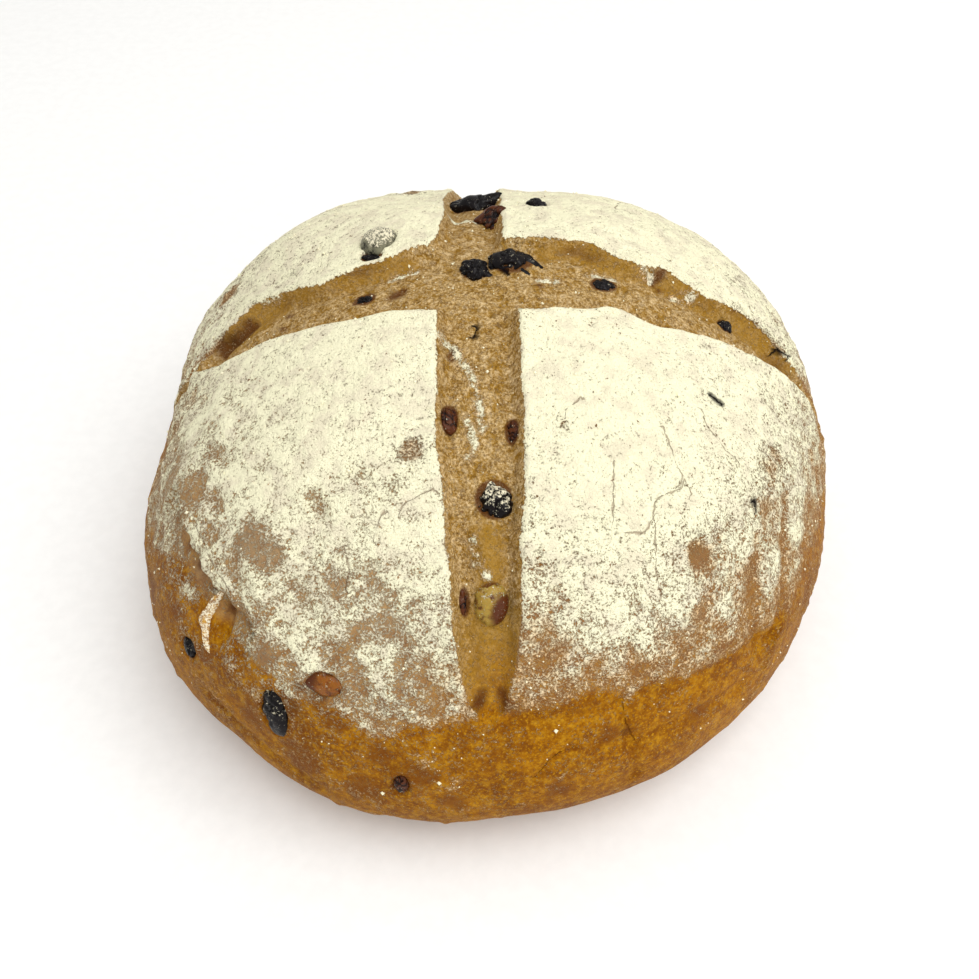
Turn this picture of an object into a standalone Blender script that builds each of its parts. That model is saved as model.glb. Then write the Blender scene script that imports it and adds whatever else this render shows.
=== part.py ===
"""A round sourdough fruit loaf with a cross-shaped score, resting on its flat foot.

The loaf is one baked solid. Each raisin that breaks the crust is a solid of its own, seated in a
pocket with a small clearance. Metres, +Z up. The origin is on the foot's plane, under the middle
of the loaf's bounding box, and the near side of the loaf faces -Y.
"""

import math

import bmesh
import bpy
import numpy as np
from mathutils import Matrix, Vector

# ---------------------------------------------------------------- driving dimensions
RADIUS = 0.0950  # mean radius at the widest ring
HEIGHT = 0.1040  # foot to crown
WAIST_HEIGHT = 0.0270  # height of the widest ring above the foot
FOOT_RADIUS = 0.0660  # radius of the flat spot it stands on
CLEARANCE = 0.0003  # gap between a raisin and its pocket

SEGMENTS = 104  # meridians of the loaf's solid
RINGS = 34  # rings from crown to foot
CROWDING = 0.50  # how strongly the meridians gather along the four arms of the score

# The outline is nearly round: (waves round the ring, size as a share of the radius, azimuth of the
# first crest in degrees). The fourth-order wave is the swelling of the four quarters.
OUTLINE_WAVES = (
    (2, 0.017, 60.0),
    (3, 0.021, 17.0),
    (4, 0.016, 40.0),
)
QUARTER_RISE = 0.0022  # how far the crust of each quarter swells between the arms

# The score: four arms that meet at the crown, each opened by the bake. (plan start and end, bend
# to the left-hand side, half width at the start and at the end)
SCORE_ARMS = (
    ((-0.0022, -0.0012), (0.0006, -0.0895), 0.0000, 0.0080, 0.0090),  # near arm
    ((-0.0010, -0.0012), (0.0930, 0.0022), -0.0012, 0.0130, 0.0034),  # right arm
    ((-0.0036, -0.0012), (-0.0030, 0.0800), 0.0000, 0.0066, 0.0066),  # far arm
    ((-0.0010, -0.0036), (-0.0850, 0.0005), 0.0018, 0.0106, 0.0060),  # left arm
)
SCORE_DEPTH = 0.0042
SCORE_LIP = 0.0032  # width of the rounded shoulder beside the cut

# Raisins: (azimuth and polar angle in degrees, length, width, turn of the long axis from the
# meridian in degrees, height left proud of the crust)
RAISINS = (
    # in the far arm and at the crown
    (94, 29, 0.0115, 0.0080, 90, 0.0038),
    (86, 19, 0.0084, 0.0056, 75, 0.0030),
    (47, 5.4, 0.0100, 0.0080, -50, 0.0034),
    (132, 2.5, 0.0066, 0.0064, 0, 0.0032),
    # in the right and left arms
    (4, 18, 0.0062, 0.0042, 10, 0.0017),
    (4, 41, 0.0042, 0.0036, 0, 0.0014),
    (-173, 19, 0.0052, 0.0040, 0, 0.0014),
    (161.5, 18, 0.0052, 0.0032, 5, 0.0010),
    # down the near arm, the golden sultana last but one
    (-101, 26, 0.0066, 0.0042, 10, 0.0015),
    (-82, 28, 0.0060, 0.0042, 0, 0.0012),
    (-88, 37.5, 0.0080, 0.0072, 20, 0.0028),
    (-89, 52, 0.0095, 0.0068, 0, 0.0022),
    (-93.4, 52, 0.0060, 0.0028, 5, 0.0007),
    # in the near flanks
    (-135, 74, 0.0050, 0.0042, 40, 0.0012),
    (-119, 75, 0.0105, 0.0060, 10, 0.0013),
    (-112, 66, 0.0070, 0.0056, 80, 0.0015),
    (-101, 84, 0.0060, 0.0032, 0, 0.0008),
    # on the far quarters, two near the far arm and four down the far flanks
    (69, 22, 0.0056, 0.0036, 90, 0.0012),
    (151, 18, 0.0080, 0.0072, 90, 0.0017),
    (44, 76, 0.0090, 0.0068, 30, 0.0015),
    (118, 68, 0.0080, 0.0060, 70, 0.0013),
    (150, 80, 0.0066, 0.0050, 20, 0.0010),
    (76, 78, 0.0092, 0.0064, 50, 0.0014),
)
LARGE_RAISIN = 0.0090  # raisins at least this long have the finer mesh
AXIS_STEP = 0.02  # half the arc, in radians, over which the crust's slope is taken

SULTANA = 12  # the only golden one
RAISIN_FLATNESS = 0.78  # thickness as a share of the width
RAISIN_WRINKLE = 0.05  # ridge height as a share of the radius

CRUST_COLOUR = (0.62, 0.40, 0.17)
CRUST_ROUGHNESS = 0.7
RAISIN_COLOUR = (0.035, 0.018, 0.016)
SULTANA_COLOUR = (0.45, 0.20, 0.04)
RAISIN_ROUGHNESS = 0.4


# ---------------------------------------------------------------- the loaf's surface
def smooth_step(value):
    """Ease from 0 to 1 as value goes from 0 to 1."""
    t = np.clip(value, 0.0, 1.0)
    return t * t * (3.0 - 2.0 * t)


def outline(azimuth):
    """Radius of the plan outline, as a share of RADIUS."""
    share = np.ones_like(azimuth)
    for waves, size, crest in OUTLINE_WAVES:
        share = share + size * np.cos(waves * (azimuth - math.radians(crest)))
    return share


def score_opening(x, y):
    """How open the score is over a plan point: 1 on the floor of an arm, 0 on whole crust.

    An arm is a strip along a slightly bowed line; its half width changes evenly from start to
    end and closes there with the fourth power of the way along.
    """
    opening = np.zeros_like(x)
    for start, end, bend, half_start, half_end in SCORE_ARMS:
        run_x, run_y = end[0] - start[0], end[1] - start[1]
        length = math.hypot(run_x, run_y)
        dx, dy = x - start[0], y - start[1]
        along = (dx * run_x + dy * run_y) / length
        share = np.clip(along / length, 0.0, 1.0)
        offset = (dy * run_x - dx * run_y) / length
        across = np.abs(offset - bend * np.sin(math.pi * share))
        half_width = (half_start + (half_end - half_start) * share) * np.sqrt(1.0 - share**4)
        outside = np.maximum(across - half_width, -along)
        fade = smooth_step((length - along) / SCORE_LIP)
        opening = np.maximum(opening, fade * (1.0 - smooth_step(outside / SCORE_LIP + 0.5)))
    return opening


def loaf_point(azimuth, polar):
    """Point of the crust at an azimuth and a polar angle (0 crown, 90 waist, 180 foot), radians.

    The dome is half an ellipse above the waist and the belly a quarter ellipse down to the foot.
    The quarters swell outward and the score cuts inward, both along the line from the loaf's core.
    """
    azimuth, polar = np.broadcast_arrays(np.asarray(azimuth, float), np.asarray(polar, float))
    below = np.clip(polar - math.pi / 2, 0.0, math.pi / 2)
    dome_radius = RADIUS * np.sin(polar)
    dome_z = WAIST_HEIGHT + (HEIGHT - WAIST_HEIGHT) * np.cos(polar)
    belly_radius = FOOT_RADIUS + (RADIUS - FOOT_RADIUS) * np.cos(below)
    belly_z = WAIST_HEIGHT * (1.0 - np.sin(below))
    radius = np.where(polar < math.pi / 2, dome_radius, belly_radius) * outline(azimuth)
    x, y = radius * np.cos(azimuth), radius * np.sin(azimuth)
    z = np.where(polar < math.pi / 2, dome_z, belly_z)

    shoulder = np.sin(np.clip(2.0 * polar, 0.0, math.pi))
    move = QUARTER_RISE * shoulder * np.sin(2.0 * azimuth) ** 2
    move = move - SCORE_DEPTH * score_opening(x, y) * (polar < math.pi / 2)
    rise = z - WAIST_HEIGHT
    reach = np.sqrt(x * x + y * y + rise * rise)
    scale = 1.0 + move / reach
    return np.stack([x * scale, y * scale, WAIST_HEIGHT + rise * scale], axis=-1)


def loaf_axes(azimuth, polar):
    """Outward normal, and the tangent along the meridian away from the crown."""
    step = AXIS_STEP
    down = loaf_point(azimuth, polar + step) - loaf_point(azimuth, polar - step)
    round_ = loaf_point(azimuth + step, polar) - loaf_point(azimuth - step, polar)
    normal = Vector(np.cross(down, round_)).normalized()
    return normal, Vector(down).normalized()


# ---------------------------------------------------------------- materials and helpers
def plain_material(name, colour, roughness):
    """Principled BSDF in one colour."""
    material = bpy.data.materials.new(name)
    material.use_nodes = True
    shader = material.node_tree.nodes["Principled BSDF"]
    shader.inputs["Base Color"].default_value = (*colour, 1.0)
    shader.inputs["Roughness"].default_value = roughness
    shader.inputs["Metallic"].default_value = 0.0
    return material


def add_object(name, mesh, material, collection, parent):
    """Object in its collection, under the empty at the loaf's core."""
    item = bpy.data.objects.new(name, mesh)
    item.parent = parent
    mesh.materials.append(material)
    collection.objects.link(item)
    return item


# ---------------------------------------------------------------- pieces
def loaf_mesh():
    """Sphere whose rings are laid on the loaf's surface. The last ring rims the flat foot."""
    form = bmesh.new()
    bmesh.ops.create_uvsphere(form, u_segments=SEGMENTS, v_segments=RINGS, radius=1.0)
    unit = np.array([vert.co[:] for vert in form.verts])
    azimuth = np.arctan2(unit[:, 1], unit[:, 0])
    azimuth = azimuth - CROWDING * np.sin(4.0 * azimuth) / 4.0
    polar = np.arccos(np.clip(unit[:, 2], -1.0, 1.0))
    last_ring = math.pi * (RINGS - 1) / RINGS
    on_foot = polar > last_ring + 0.5 * math.pi / RINGS
    points = loaf_point(azimuth, np.clip(polar * math.pi / last_ring, 0.0, math.pi))
    points[on_foot] = 0.0
    for vert, point in zip(form.verts, points):
        vert.co = point
    bmesh.ops.triangulate(form, faces=form.faces)
    bmesh.ops.recalc_face_normals(form, faces=form.faces)
    mesh = bpy.data.meshes.new("loaf")
    form.to_mesh(mesh)
    form.free()
    mesh.shade_smooth()
    return mesh


def raisin_mesh(name, length, width, number, growth=0.0):
    """Flattened ball with shallow ridges that run from end to end."""
    form = bmesh.new()
    fineness = 3 if length >= LARGE_RAISIN else 2
    bmesh.ops.create_icosphere(form, subdivisions=fineness, radius=1.0)
    half = (length / 2 + growth, width / 2 + growth, RAISIN_FLATNESS * width / 2 + growth)
    for vert in form.verts:
        turn = math.atan2(vert.co.z, vert.co.y)
        girth = math.hypot(vert.co.y, vert.co.z)
        ridge = 1.0 + RAISIN_WRINKLE * girth * math.sin(5.0 * turn + number + 2.0 * vert.co.x)
        vert.co = Vector(side * axis * ridge for side, axis in zip(vert.co, half))
    mesh = bpy.data.meshes.new(name)
    form.to_mesh(mesh)
    form.free()
    mesh.shade_smooth()
    return mesh


def raisin_matrix(azimuth, polar, width, turn, proud):
    """Place on the crust: long axis in the tangent plane, sunk to leave `proud` outside."""
    azimuth, polar, turn = (math.radians(angle) for angle in (azimuth, polar, turn))
    normal, down = loaf_axes(azimuth, polar)
    long_axis = Matrix.Rotation(turn, 3, normal) @ down
    side_axis = normal.cross(long_axis)
    point = Vector(loaf_point(azimuth, polar))
    centre = point - normal * (RAISIN_FLATNESS * width / 2 - proud)
    turned = Matrix((long_axis, side_axis, normal)).transposed().to_4x4()
    return Matrix.Translation(centre) @ turned


def build():
    """Loaf, raisins and the pockets that seat them."""
    for item in list(bpy.data.objects):
        bpy.data.objects.remove(item, do_unlink=True)
    parts = bpy.data.collections.new("sourdough_loaf")
    cutters = bpy.data.collections.new("cutters")
    bpy.context.scene.collection.children.link(parts)
    bpy.context.scene.collection.children.link(cutters)

    core = bpy.data.objects.new("loaf_core", None)
    parts.objects.link(core)
    crust = plain_material("baked_crust", CRUST_COLOUR, CRUST_ROUGHNESS)
    loaf = add_object("loaf", loaf_mesh(), crust, parts, core)

    for number, (azimuth, polar, length, width, turn, proud) in enumerate(RAISINS, start=1):
        name = f"raisin_{number:02d}"
        place = raisin_matrix(azimuth, polar, width, turn, proud)
        colour = SULTANA_COLOUR if number == SULTANA else RAISIN_COLOUR
        skin = plain_material(f"{name}_skin", colour, RAISIN_ROUGHNESS)
        fruit = add_object(name, raisin_mesh(name, length, width, number), skin, parts, core)
        fruit.matrix_local = place
        room = raisin_mesh(f"{name}_pocket", length, width, number, CLEARANCE)
        pocket = add_object(f"{name}_pocket", room, crust, cutters, core)
        pocket.matrix_local = place
        pocket.hide_render = True
        pocket.display_type = "WIRE"

    seat = loaf.modifiers.new("raisin pockets", "BOOLEAN")
    seat.operation = "DIFFERENCE"
    seat.operand_type = "COLLECTION"
    seat.collection = cutters
    seat.solver = "EXACT"

    points = np.array([vert.co[:] for vert in loaf.data.vertices])
    middle = (points.min(axis=0) + points.max(axis=0)) / 2
    core.location = (-middle[0], -middle[1], 0.0)


build()
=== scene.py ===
"""Finish for a round sourdough fruit loaf: floured crust, open score, raisins, and a pale studio.

The loaf's size comes from the frame. Its skin is one closed surface worked out from a dome, a
belly and a flat foot, opened by a cross-shaped score and roughened by lumps, cracks and flour.
"""

import math

import bpy
import numpy as np
from mathutils import Matrix, Vector


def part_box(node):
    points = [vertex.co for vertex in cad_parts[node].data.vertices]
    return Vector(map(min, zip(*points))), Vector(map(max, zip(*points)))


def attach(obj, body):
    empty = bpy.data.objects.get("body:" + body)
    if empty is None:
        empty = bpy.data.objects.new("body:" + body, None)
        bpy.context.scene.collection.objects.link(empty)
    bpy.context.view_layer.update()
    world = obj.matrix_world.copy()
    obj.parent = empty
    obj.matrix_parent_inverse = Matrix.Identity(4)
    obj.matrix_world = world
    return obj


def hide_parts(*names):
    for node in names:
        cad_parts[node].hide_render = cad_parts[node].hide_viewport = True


bl_info = {
    "name": "Sourdough Fruit Loaf",
    "version": (1, 0, 0),
    "blender": (4, 5, 0),
    "location": "View3D > Sidebar > Loaf",
    "description": "Floured fruit loaf with a cross-shaped score, in a pale studio",
    "category": "Add Mesh",
}

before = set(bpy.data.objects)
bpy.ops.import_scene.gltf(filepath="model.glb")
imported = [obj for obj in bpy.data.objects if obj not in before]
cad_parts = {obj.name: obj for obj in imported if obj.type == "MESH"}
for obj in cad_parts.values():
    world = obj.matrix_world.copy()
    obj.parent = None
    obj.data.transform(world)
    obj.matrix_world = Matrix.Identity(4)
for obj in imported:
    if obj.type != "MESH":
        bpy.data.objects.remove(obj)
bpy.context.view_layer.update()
LOAF_LO, LOAF_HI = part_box("loaf")
RAISIN_NODES = sorted(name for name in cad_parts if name.startswith("raisin_"))
SULTANA = "raisin_12"
MM = 0.001

# ---------------------------------------------------------------- form of the loaf
# The frame gives the loaf's box. The outline's waves and the score make that box a little smaller
# than the circle and the dome it was drawn from.
RADIUS = 1.0137 * (LOAF_HI.x - LOAF_LO.x + LOAF_HI.y - LOAF_LO.y) / 4
HEIGHT = 1.0057 * LOAF_HI.z
WAIST_HEIGHT = 0.26 * HEIGHT
FOOT_RADIUS = 0.695 * RADIUS
OUTLINE_WAVES = ((2, 0.017, 60.0), (3, 0.021, 17.0), (4, 0.016, 40.0))

# Arms of the score, near, right, far and left, in shares of the radius: plan start and end, bend to
# the left-hand side, half width at the start and at the end.
SCORE_ARMS = (
    ((-0.0232, -0.0126), (0.0063, -0.9421), 0.0000, 0.0842, 0.0947),
    ((-0.0105, -0.0126), (0.9789, 0.0232), -0.0126, 0.1368, 0.0358),
    ((-0.0379, -0.0126), (-0.0316, 0.8421), 0.0000, 0.0695, 0.0695),
    ((-0.0105, -0.0379), (-0.8947, 0.0053), 0.0189, 0.1116, 0.0632),
)

# Where the score's edge is pulled open (or closed, if less than nothing): plan place from the
# loaf's middle, radius and amount, all in millimetres.
SCORE_PULLS = (
    (-16.0, 9.0, 5.5, 2.8), (-38.0, 5.5, 7.0, -2.4), (-56.0, 8.0, 6.5, 2.4), (-74.0, 0.0, 6.0, -5.0),
    (15.0, 11.5, 5.0, 1.2), (24.0, 12.0, 5.0, 3.4), (43.0, 9.5, 4.0, 2.6), (54.0, 7.5, 3.5, -1.0),
    (67.0, 7.0, 6.0, 2.8), (29.0, -10.0, 4.5, -2.8), (40.0, -10.5, 4.5, 1.2),
)

# Places on the crust are (azimuth, polar angle) in degrees: azimuth -90 is the near side, 0 the
# right, and polar angle 0 is the crown, 90 the waist.
FLOUR_LIMITS = (  # azimuth, polar angle where flour thins, where it ends, haze left on the belly
    (-180, 55, 74, 0.20), (-157, 51, 72, 0.24), (-142, 47, 62, 0.20), (-128, 48, 64, 0.18),
    (-116, 50, 69, 0.20), (-104, 51, 73, 0.20), (-95, 50, 70, 0.14), (-84, 50, 68, 0.09),
    (-76, 56, 69, 0.10), (-68, 58, 69, 0.09), (-60, 58, 69, 0.10), (-48, 57, 71, 0.13),
    (-36, 58, 73, 0.22), (-25, 60, 75, 0.24), (0, 62, 78, 0.22), (40, 62, 80, 0.16), (85, 58, 75, 0.12),
    (130, 60, 78, 0.16), (165, 56, 76, 0.20),
)
PATCHES = (  # place, radius in millimetres, and how much more or less flour lies there
    (-115.5, 36.1, 3.0, -0.22), (-108.5, 36.9, 1.8, -0.35), (-122.0, 41.3, 3.0, -0.22),
    (-148.0, 46.5, 3.0, -0.14), (-145.5, 51.7, 3.5, -0.12), (-112.0, 47.0, 8.0, -0.04),
    (-116.0, 50.5, 3.0, -0.15), (-112.0, 53.3, 3.0, -0.25), (-108.5, 56.9, 3.0, -0.20),
    (-100.0, 52.0, 7.0, -0.10), (-127.0, 56.8, 3.0, 0.22), (-120.0, 58.3, 3.0, 0.22),
    (-124.0, 53.8, 3.0, 0.16), (-98.5, 44.0, 6.0, 0.14), (-97.5, 51.0, 6.0, 0.16),
    (-96.5, 57.0, 5.0, 0.14), (-110.0, 42.0, 12.0, 0.08), (-125.0, 44.0, 9.0, 0.08),
    (-137.0, 50.0, 9.0, 0.10), (-118.5, 59.3, 4.0, 0.18), (-113.5, 59.3, 3.5, 0.12),
    (-114.5, 62.5, 2.6, 0.40), (-107.0, 60.5, 2.5, 0.25), (-104.0, 60.0, 4.0, 0.12),
    (-117.5, 70.0, 3.0, 0.30), (-121.5, 72.0, 3.0, 0.35), (-137.5, 64.5, 3.2, 0.34),
    (-144.0, 61.7, 3.0, 0.20), (-98.5, 77.0, 3.0, 0.22), (-94.0, 82.5, 3.0, 0.24),
    (-143.0, 60.0, 3.4, -0.50), (-137.5, 61.5, 3.4, -0.55), (-130.0, 63.5, 3.0, -0.45),
    (-141.0, 55.5, 2.6, 0.25), (-136.0, 56.8, 2.6, 0.30), (-131.0, 58.4, 2.6, 0.30),
    (-138.0, 65.0, 3.0, 0.25), (-26.5, 52.9, 6.0, -0.28), (-36.0, 56.0, 6.0, -0.18),
    (-50.0, 52.0, 7.0, -0.12), (-54.0, 52.5, 3.0, -0.30), (-62.0, 49.0, 4.0, -0.08),
    (-41.0, 64.0, 4.0, 0.15), (-69.5, 29.0, 2.0, -0.30), (-76.0, 33.0, 3.0, -0.10),
    (-30.0, 66.0, 4.0, 0.18), (-70.0, 58.5, 4.0, 0.12), (60.0, 50.0, 7.0, -0.20),
    (110.0, 42.0, 7.0, -0.12), (150.0, 46.0, 7.0, -0.12), (20.0, 45.0, 6.0, -0.15),
    (40.0, 58.0, 6.0, -0.20), (145.0, 25.0, 10.0, -0.05), (160.0, 30.0, 8.0, -0.06),
    (-150.0, 40.0, 9.0, 0.08), (-128.0, 40.0, 7.0, 0.08),
)
CRACKS = (  # fine cracks in the flour
    ((-33.5, 37.6), (-36.2, 39.3), (-36.5, 41.4), (-36.8, 44.3), (-36.0, 47.1)),
    ((-46.5, 35.3), (-48.0, 37.8), (-49.7, 41.0), (-49.7, 43.1), (-50.0, 45.4)),
    ((-61.3, 35.3), (-65.0, 40.5), (-68.0, 46.2)),
    ((-67.2, 44.5), (-61.5, 46.4), (-59.0, 44.7), (-57.2, 42.8), (-50.5, 43.5)),
    ((-58.8, 45.2), (-62.0, 51.5), (-62.5, 55.9)),
    ((-68.0, 27.2), (-61.0, 26.0)),
    ((-106.2, 40.7), (-105.8, 38.6), (-103.2, 37.2), (-100.5, 36.1)),
    ((-109.5, 44.7), (-109.5, 41.8), (-109.0, 39.7)),
    ((-111.8, 51.3), (-112.2, 47.9), (-114.5, 45.6)),
    ((48.0, 30.0), (52.0, 36.0), (50.0, 42.0), (55.0, 47.0)),
    ((128.0, 34.0), (133.0, 41.0), (131.0, 50.0)),
    ((-78.0, 76.6), (-80.0, 76.8), (-81.7, 79.2), (-83.5, 82.5)),
    ((-70.8, 69.9), (-70.8, 73.9), (-69.2, 80.0)),
    ((-141.2, 54.5), (-134.0, 56.4), (-128.8, 58.1)),
    ((62.0, 74.0), (68.0, 77.0), (73.0, 76.0)),
)
SLITS = (  # short dark slits where the skin has parted over fruit
    ((-27.8, 37.1), (-27.2, 39.9)),
    ((-37.5, 52.6), (-38.2, 54.5)),
    ((5.0, 52.1), (4.8, 54.9)),
    ((-97.0, 10.5), (-97.2, 12.4)),
    ((62.8, 3.4), (11.3, 3.8)),
    ((84.0, 52.0), (86.0, 55.0)),
)
FOLDS = (  # places, depth and half width in millimetres
    (((-78.0, 76.6), (-80.0, 76.8), (-81.7, 79.2), (-83.5, 82.5)), 0.5, 1.0),
    (((-71.5, 69.9), (-71.5, 73.9), (-70.0, 80.0), (-69.0, 89.0)), 0.9, 1.4),
    (((-88.0, 67.0), (-87.5, 76.9), (-88.0, 84.1)), 0.4, 1.4),
    (((-43.3, 59.9), (-45.5, 63.8), (-47.8, 69.2), (-46.5, 75.8)), 1.3, 2.0),
    (((-29.0, 59.3), (-34.3, 63.3), (-39.2, 69.4), (-44.0, 76.0)), 1.1, 1.8),
    (((-74.5, 77.3), (-67.0, 78.9), (-59.0, 78.9), (-51.0, 81.3)), 0.8, 2.4),
    (((-130.0, 60.0), (-129.5, 63.0), (-129.0, 67.0)), 1.9, 1.5),
    (((-132.0, 84.5), (-127.0, 87.3), (-121.0, 88.9), (-113.0, 93.0)), 1.0, 2.2),
    (((-113.0, 58.9), (-109.5, 60.5), (-107.5, 62.5), (-107.0, 65.3)), 0.6, 1.1),
    (((-123.5, 40.1), (-122.0, 41.3), (-120.5, 42.5)), 0.8, 1.2),
    (((177.5, 46.1), (178.0, 56.5), (-173.0, 58.0), (-166.0, 62.0)), 2.0, 1.6),
    (((6.0, 60.0), (3.0, 66.0), (-4.0, 73.0)), 1.2, 1.5),
    (((8.5, 42.0), (7.0, 47.5), (5.0, 53.0)), 1.3, 2.2),
    (((96.0, 60.0), (98.0, 70.0), (94.0, 82.0)), 1.0, 2.2),
    (((140.0, 62.0), (143.0, 72.0), (139.0, 84.0)), 1.0, 2.4),
    (((30.0, 66.0), (26.0, 76.0), (29.0, 86.0)), 0.9, 2.6),
)
STEPS = (  # places, rise in millimetres of the left-hand side when walking the path, and its run
    (
        ((-88, 67), (-80, 69), (-71, 69), (-67, 69), (-60, 70), (-55, 70), (-49, 71), (-42, 75)),
        0.9,
        2.0,
    ),
    (
        ((-150, 55), (-142.5, 57), (-139.5, 58), (-135.5, 58.7), (-130.5, 60.5), (-123.5, 60.7)),
        3.4,
        1.3,
    ),
)
STAINS_AND_SHADOWS = (  # darker spots, place and radius in millimetres: caramel, but the first four, along the step on the near left flank, are painted shadow under its overhang
    (-129.6, 62.2, 1.8), (-141.5, 58.9, 1.5), (-137.5, 59.9, 1.6), (-133.8, 60.9, 1.5),
    (-117.0, 72.5, 3.4), (-114.5, 67.3, 1.6), (-90.8, 67.0, 2.0), (-90.4, 65.0, 1.4),
    (-86.6, 67.2, 2.0), (-87.6, 65.4, 1.4), (-168.0, 14.0, 2.2), (-172.0, 13.0, 1.6),
    (179.0, 32.5, 1.1), (176.0, 41.5, 2.2), (177.0, 43.2, 2.6), (178.0, 45.5, 2.8), (178.5, 47.5, 2.8),
    (9.0, 28.5, 1.0), (12.5, 27.0, 1.6), (8.0, 41.0, 1.4), (-9.0, 8.5, 1.2), (-107.5, 15.5, 1.2),
    (-175.0, 33.0, 1.3), (-171.0, 34.0, 1.0), (-112.5, 68.5, 2.2), (-119.0, 75.0, 3.0),
    (-71.0, 76.5, 1.4), (-102.0, 85.0, 1.6),
)
BROWNED = (  # browner clouds on the belly: place and radius in millimetres
    (-98.5, 81.0, 4.6), (-103.5, 77.5, 3.6), (-106.5, 87.3, 5.0), (-115.0, 83.3, 5.5),
    (-110.0, 72.5, 3.0), (-122.5, 79.3, 4.5), (-131.5, 72.5, 3.4), (-139.0, 70.1, 3.0),
    (-94.0, 87.5, 3.4), (-80.0, 86.5, 3.0), (-73.0, 75.7, 2.6), (-59.0, 80.1, 3.4), (-150.0, 78.0, 4.0),
    (-30.0, 80.0, 4.0), (5.0, 84.0, 5.0), (38.0, 88.0, 5.5), (75.0, 83.0, 5.0), (112.0, 87.0, 5.5),
    (150.0, 84.0, 5.0),
)
GLAZES = (  # smooth amber parts of the score: paths and half widths in millimetres
    (((-88.8, 56.0), (-88.0, 62.0), (-88.0, 68.0)), 8.0),
    (((8.5, 41.0), (7.0, 47.0), (5.5, 53.0)), 3.4),
    (((174.0, 36.0), (176.0, 41.0), (179.0, 46.0)), 4.2),
    (((-89.5, 42.0), (-89.2, 53.0)), 3.6),
)
FAR_WALLS = (  # amber walls of the score's side arms, on their far side, each with a painted shadow seam under the far quarter's lip
    ((178, 47), (177, 41), (174.5, 35), (173, 29.5), (173, 24.5), (170, 19.2), (161.5, 12)),
    ((35, 10.5), (27.5, 15.6), (14.5, 20.5), (11, 26.3), (7, 33.5), (5.2, 40.5), (4.2, 49), (3.2, 57)),
)
BLISTER = ((-89.6, 43.5), (-89.2, 51.5))  # raised skin down the near arm
LIGHT_SEAM = ((-88.5, 69.0), (-87.0, 74.0), (-87.2, 83.0))  # pale line below the near arm
STREAKS = (  # loose flour smeared over the bare parts
    ((-115.0, 14.1), (-106.5, 15.0), (-97.0, 18.4), (-92.8, 22.4), (-90.8, 27.2)),
    ((-95.2, 26.4), (-92.8, 29.5), (-94.0, 31.5)),
    ((173.5, 14.9), (169.0, 13.3), (164.5, 11.3)),
    ((-73.0, 58.7), (-69.8, 58.5), (-66.0, 58.3)),
    ((11.0, 15.6), (9.0, 18.5), (9.0, 19.8)),
    ((14.0, 24.0), (11.5, 26.2)),
    ((-2.0, 8.0), (0.0, 10.5)),
    ((-92.5, 43.0), (-91.5, 46.5)),
    ((-89.8, 47.5), (-89.6, 48.6)),
    ((6.0, 30.0), (7.0, 33.0)),
    ((172.0, 34.0), (171.0, 38.0)),
    ((107.0, 19.3), (100.0, 19.7), (93.5, 18.1)),
)
SCUFFS = (  # places where flour is rubbed away, and their radius in millimetres
    (-106.8, 31.5, 3.4), (-129.5, 50.5, 4.2), (-125.0, 50.3, 4.2), (-54.0, 52.5, 2.2),
    (-58.0, 60.5, 2.4), (-69.2, 29.1, 1.2), (-137.0, 60.5, 3.0), (-121.0, 64.5, 2.6), (60.0, 48.0, 4.0),
    (110.0, 40.0, 3.2), (160.0, 50.0, 4.5),
)
MOUNDS = (  # swellings over buried fruit, and broad dents last: place, radius, height in millimetres
    (-100.0, 33.4, 6.0, 0.5), (-127.7, 50.4, 8.0, 1.1), (-56.8, 60.6, 9.0, 1.1),
    (-113.8, 53.2, 7.0, 0.8), (-58.2, 39.5, 9.0, 0.6), (-69.2, 29.1, 3.0, 0.5), (-24.2, 56.8, 7.0, 0.9),
    (-152.8, 45.4, 7.0, 0.9), (-130.5, 36.9, 9.0, 0.7), (-79.0, 57.4, 6.0, 0.7),
    (-40.2, 47.3, 8.0, 0.7), (146.5, 36.7, 9.0, 1.1), (38.5, 22.0, 8.0, 0.7), (16.0, 38.0, 7.0, 0.8),
    (-117.0, 66.0, 8.0, 0.9), (70.0, 52.0, 8.0, 0.9), (110.0, 46.0, 9.0, 1.0), (52.0, 66.0, 7.0, 0.8),
    (-160.5, 68.5, 6.0, 1.0), (-156.0, 75.0, 5.0, 0.9), (-124.0, 56.5, 4.0, 0.8),
    (-114.5, 62.5, 3.5, 0.8), (-128.0, 88.0, 24.0, -2.6), (174.0, 74.0, 20.0, -2.2),
    (-172.0, 66.0, 18.0, -2.0), (112.0, 30.0, 16.0, -2.0),
)
# The sliver of skin that has lifted off the near left flank.
FLAKE_PATH = ((-131.2, 59.8), (-131.8, 62.5), (-132.0, 66.0), (-130.6, 70.0), (-130.0, 71.5))

GRID_LINES = 300  # lines each way of the square grid that is wrapped over the loaf
FOOT_RINGS = (0.93, 0.62, 0.28)  # inner rings of the foot, as shares of its radius
EDGE_CROWDING = 0.9  # extra share of grid lines near the arms' edges
ARM_EDGE, CROWDING_WIDTH = 0.085, 0.07  # where they gather, as shares of the way out
PROFILE_SAMPLES, OUTLINE_SAMPLES = 2001, 1440
FAR = 10.0 * MM  # a distance that counts as nowhere near
CORE = np.array([0.0, 0.0, WAIST_HEIGHT])  # the point that the crust faces away from

# Layers of noise: height in millimetres, cell size in millimetres, and seed.
EDGE_WANDER = ((0.55, 12.0, 11), (0.30, 4.0, 12))
LUMPS = ((0.75, 32.0, 1), (0.42, 13.0, 2))
ROUGHNESS = ((0.20, 5.5, 3), (0.11, 2.6, 4))
CRUMB_GRAIN = ((0.34, 2.8, 7), (0.24, 1.4, 8))

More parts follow.
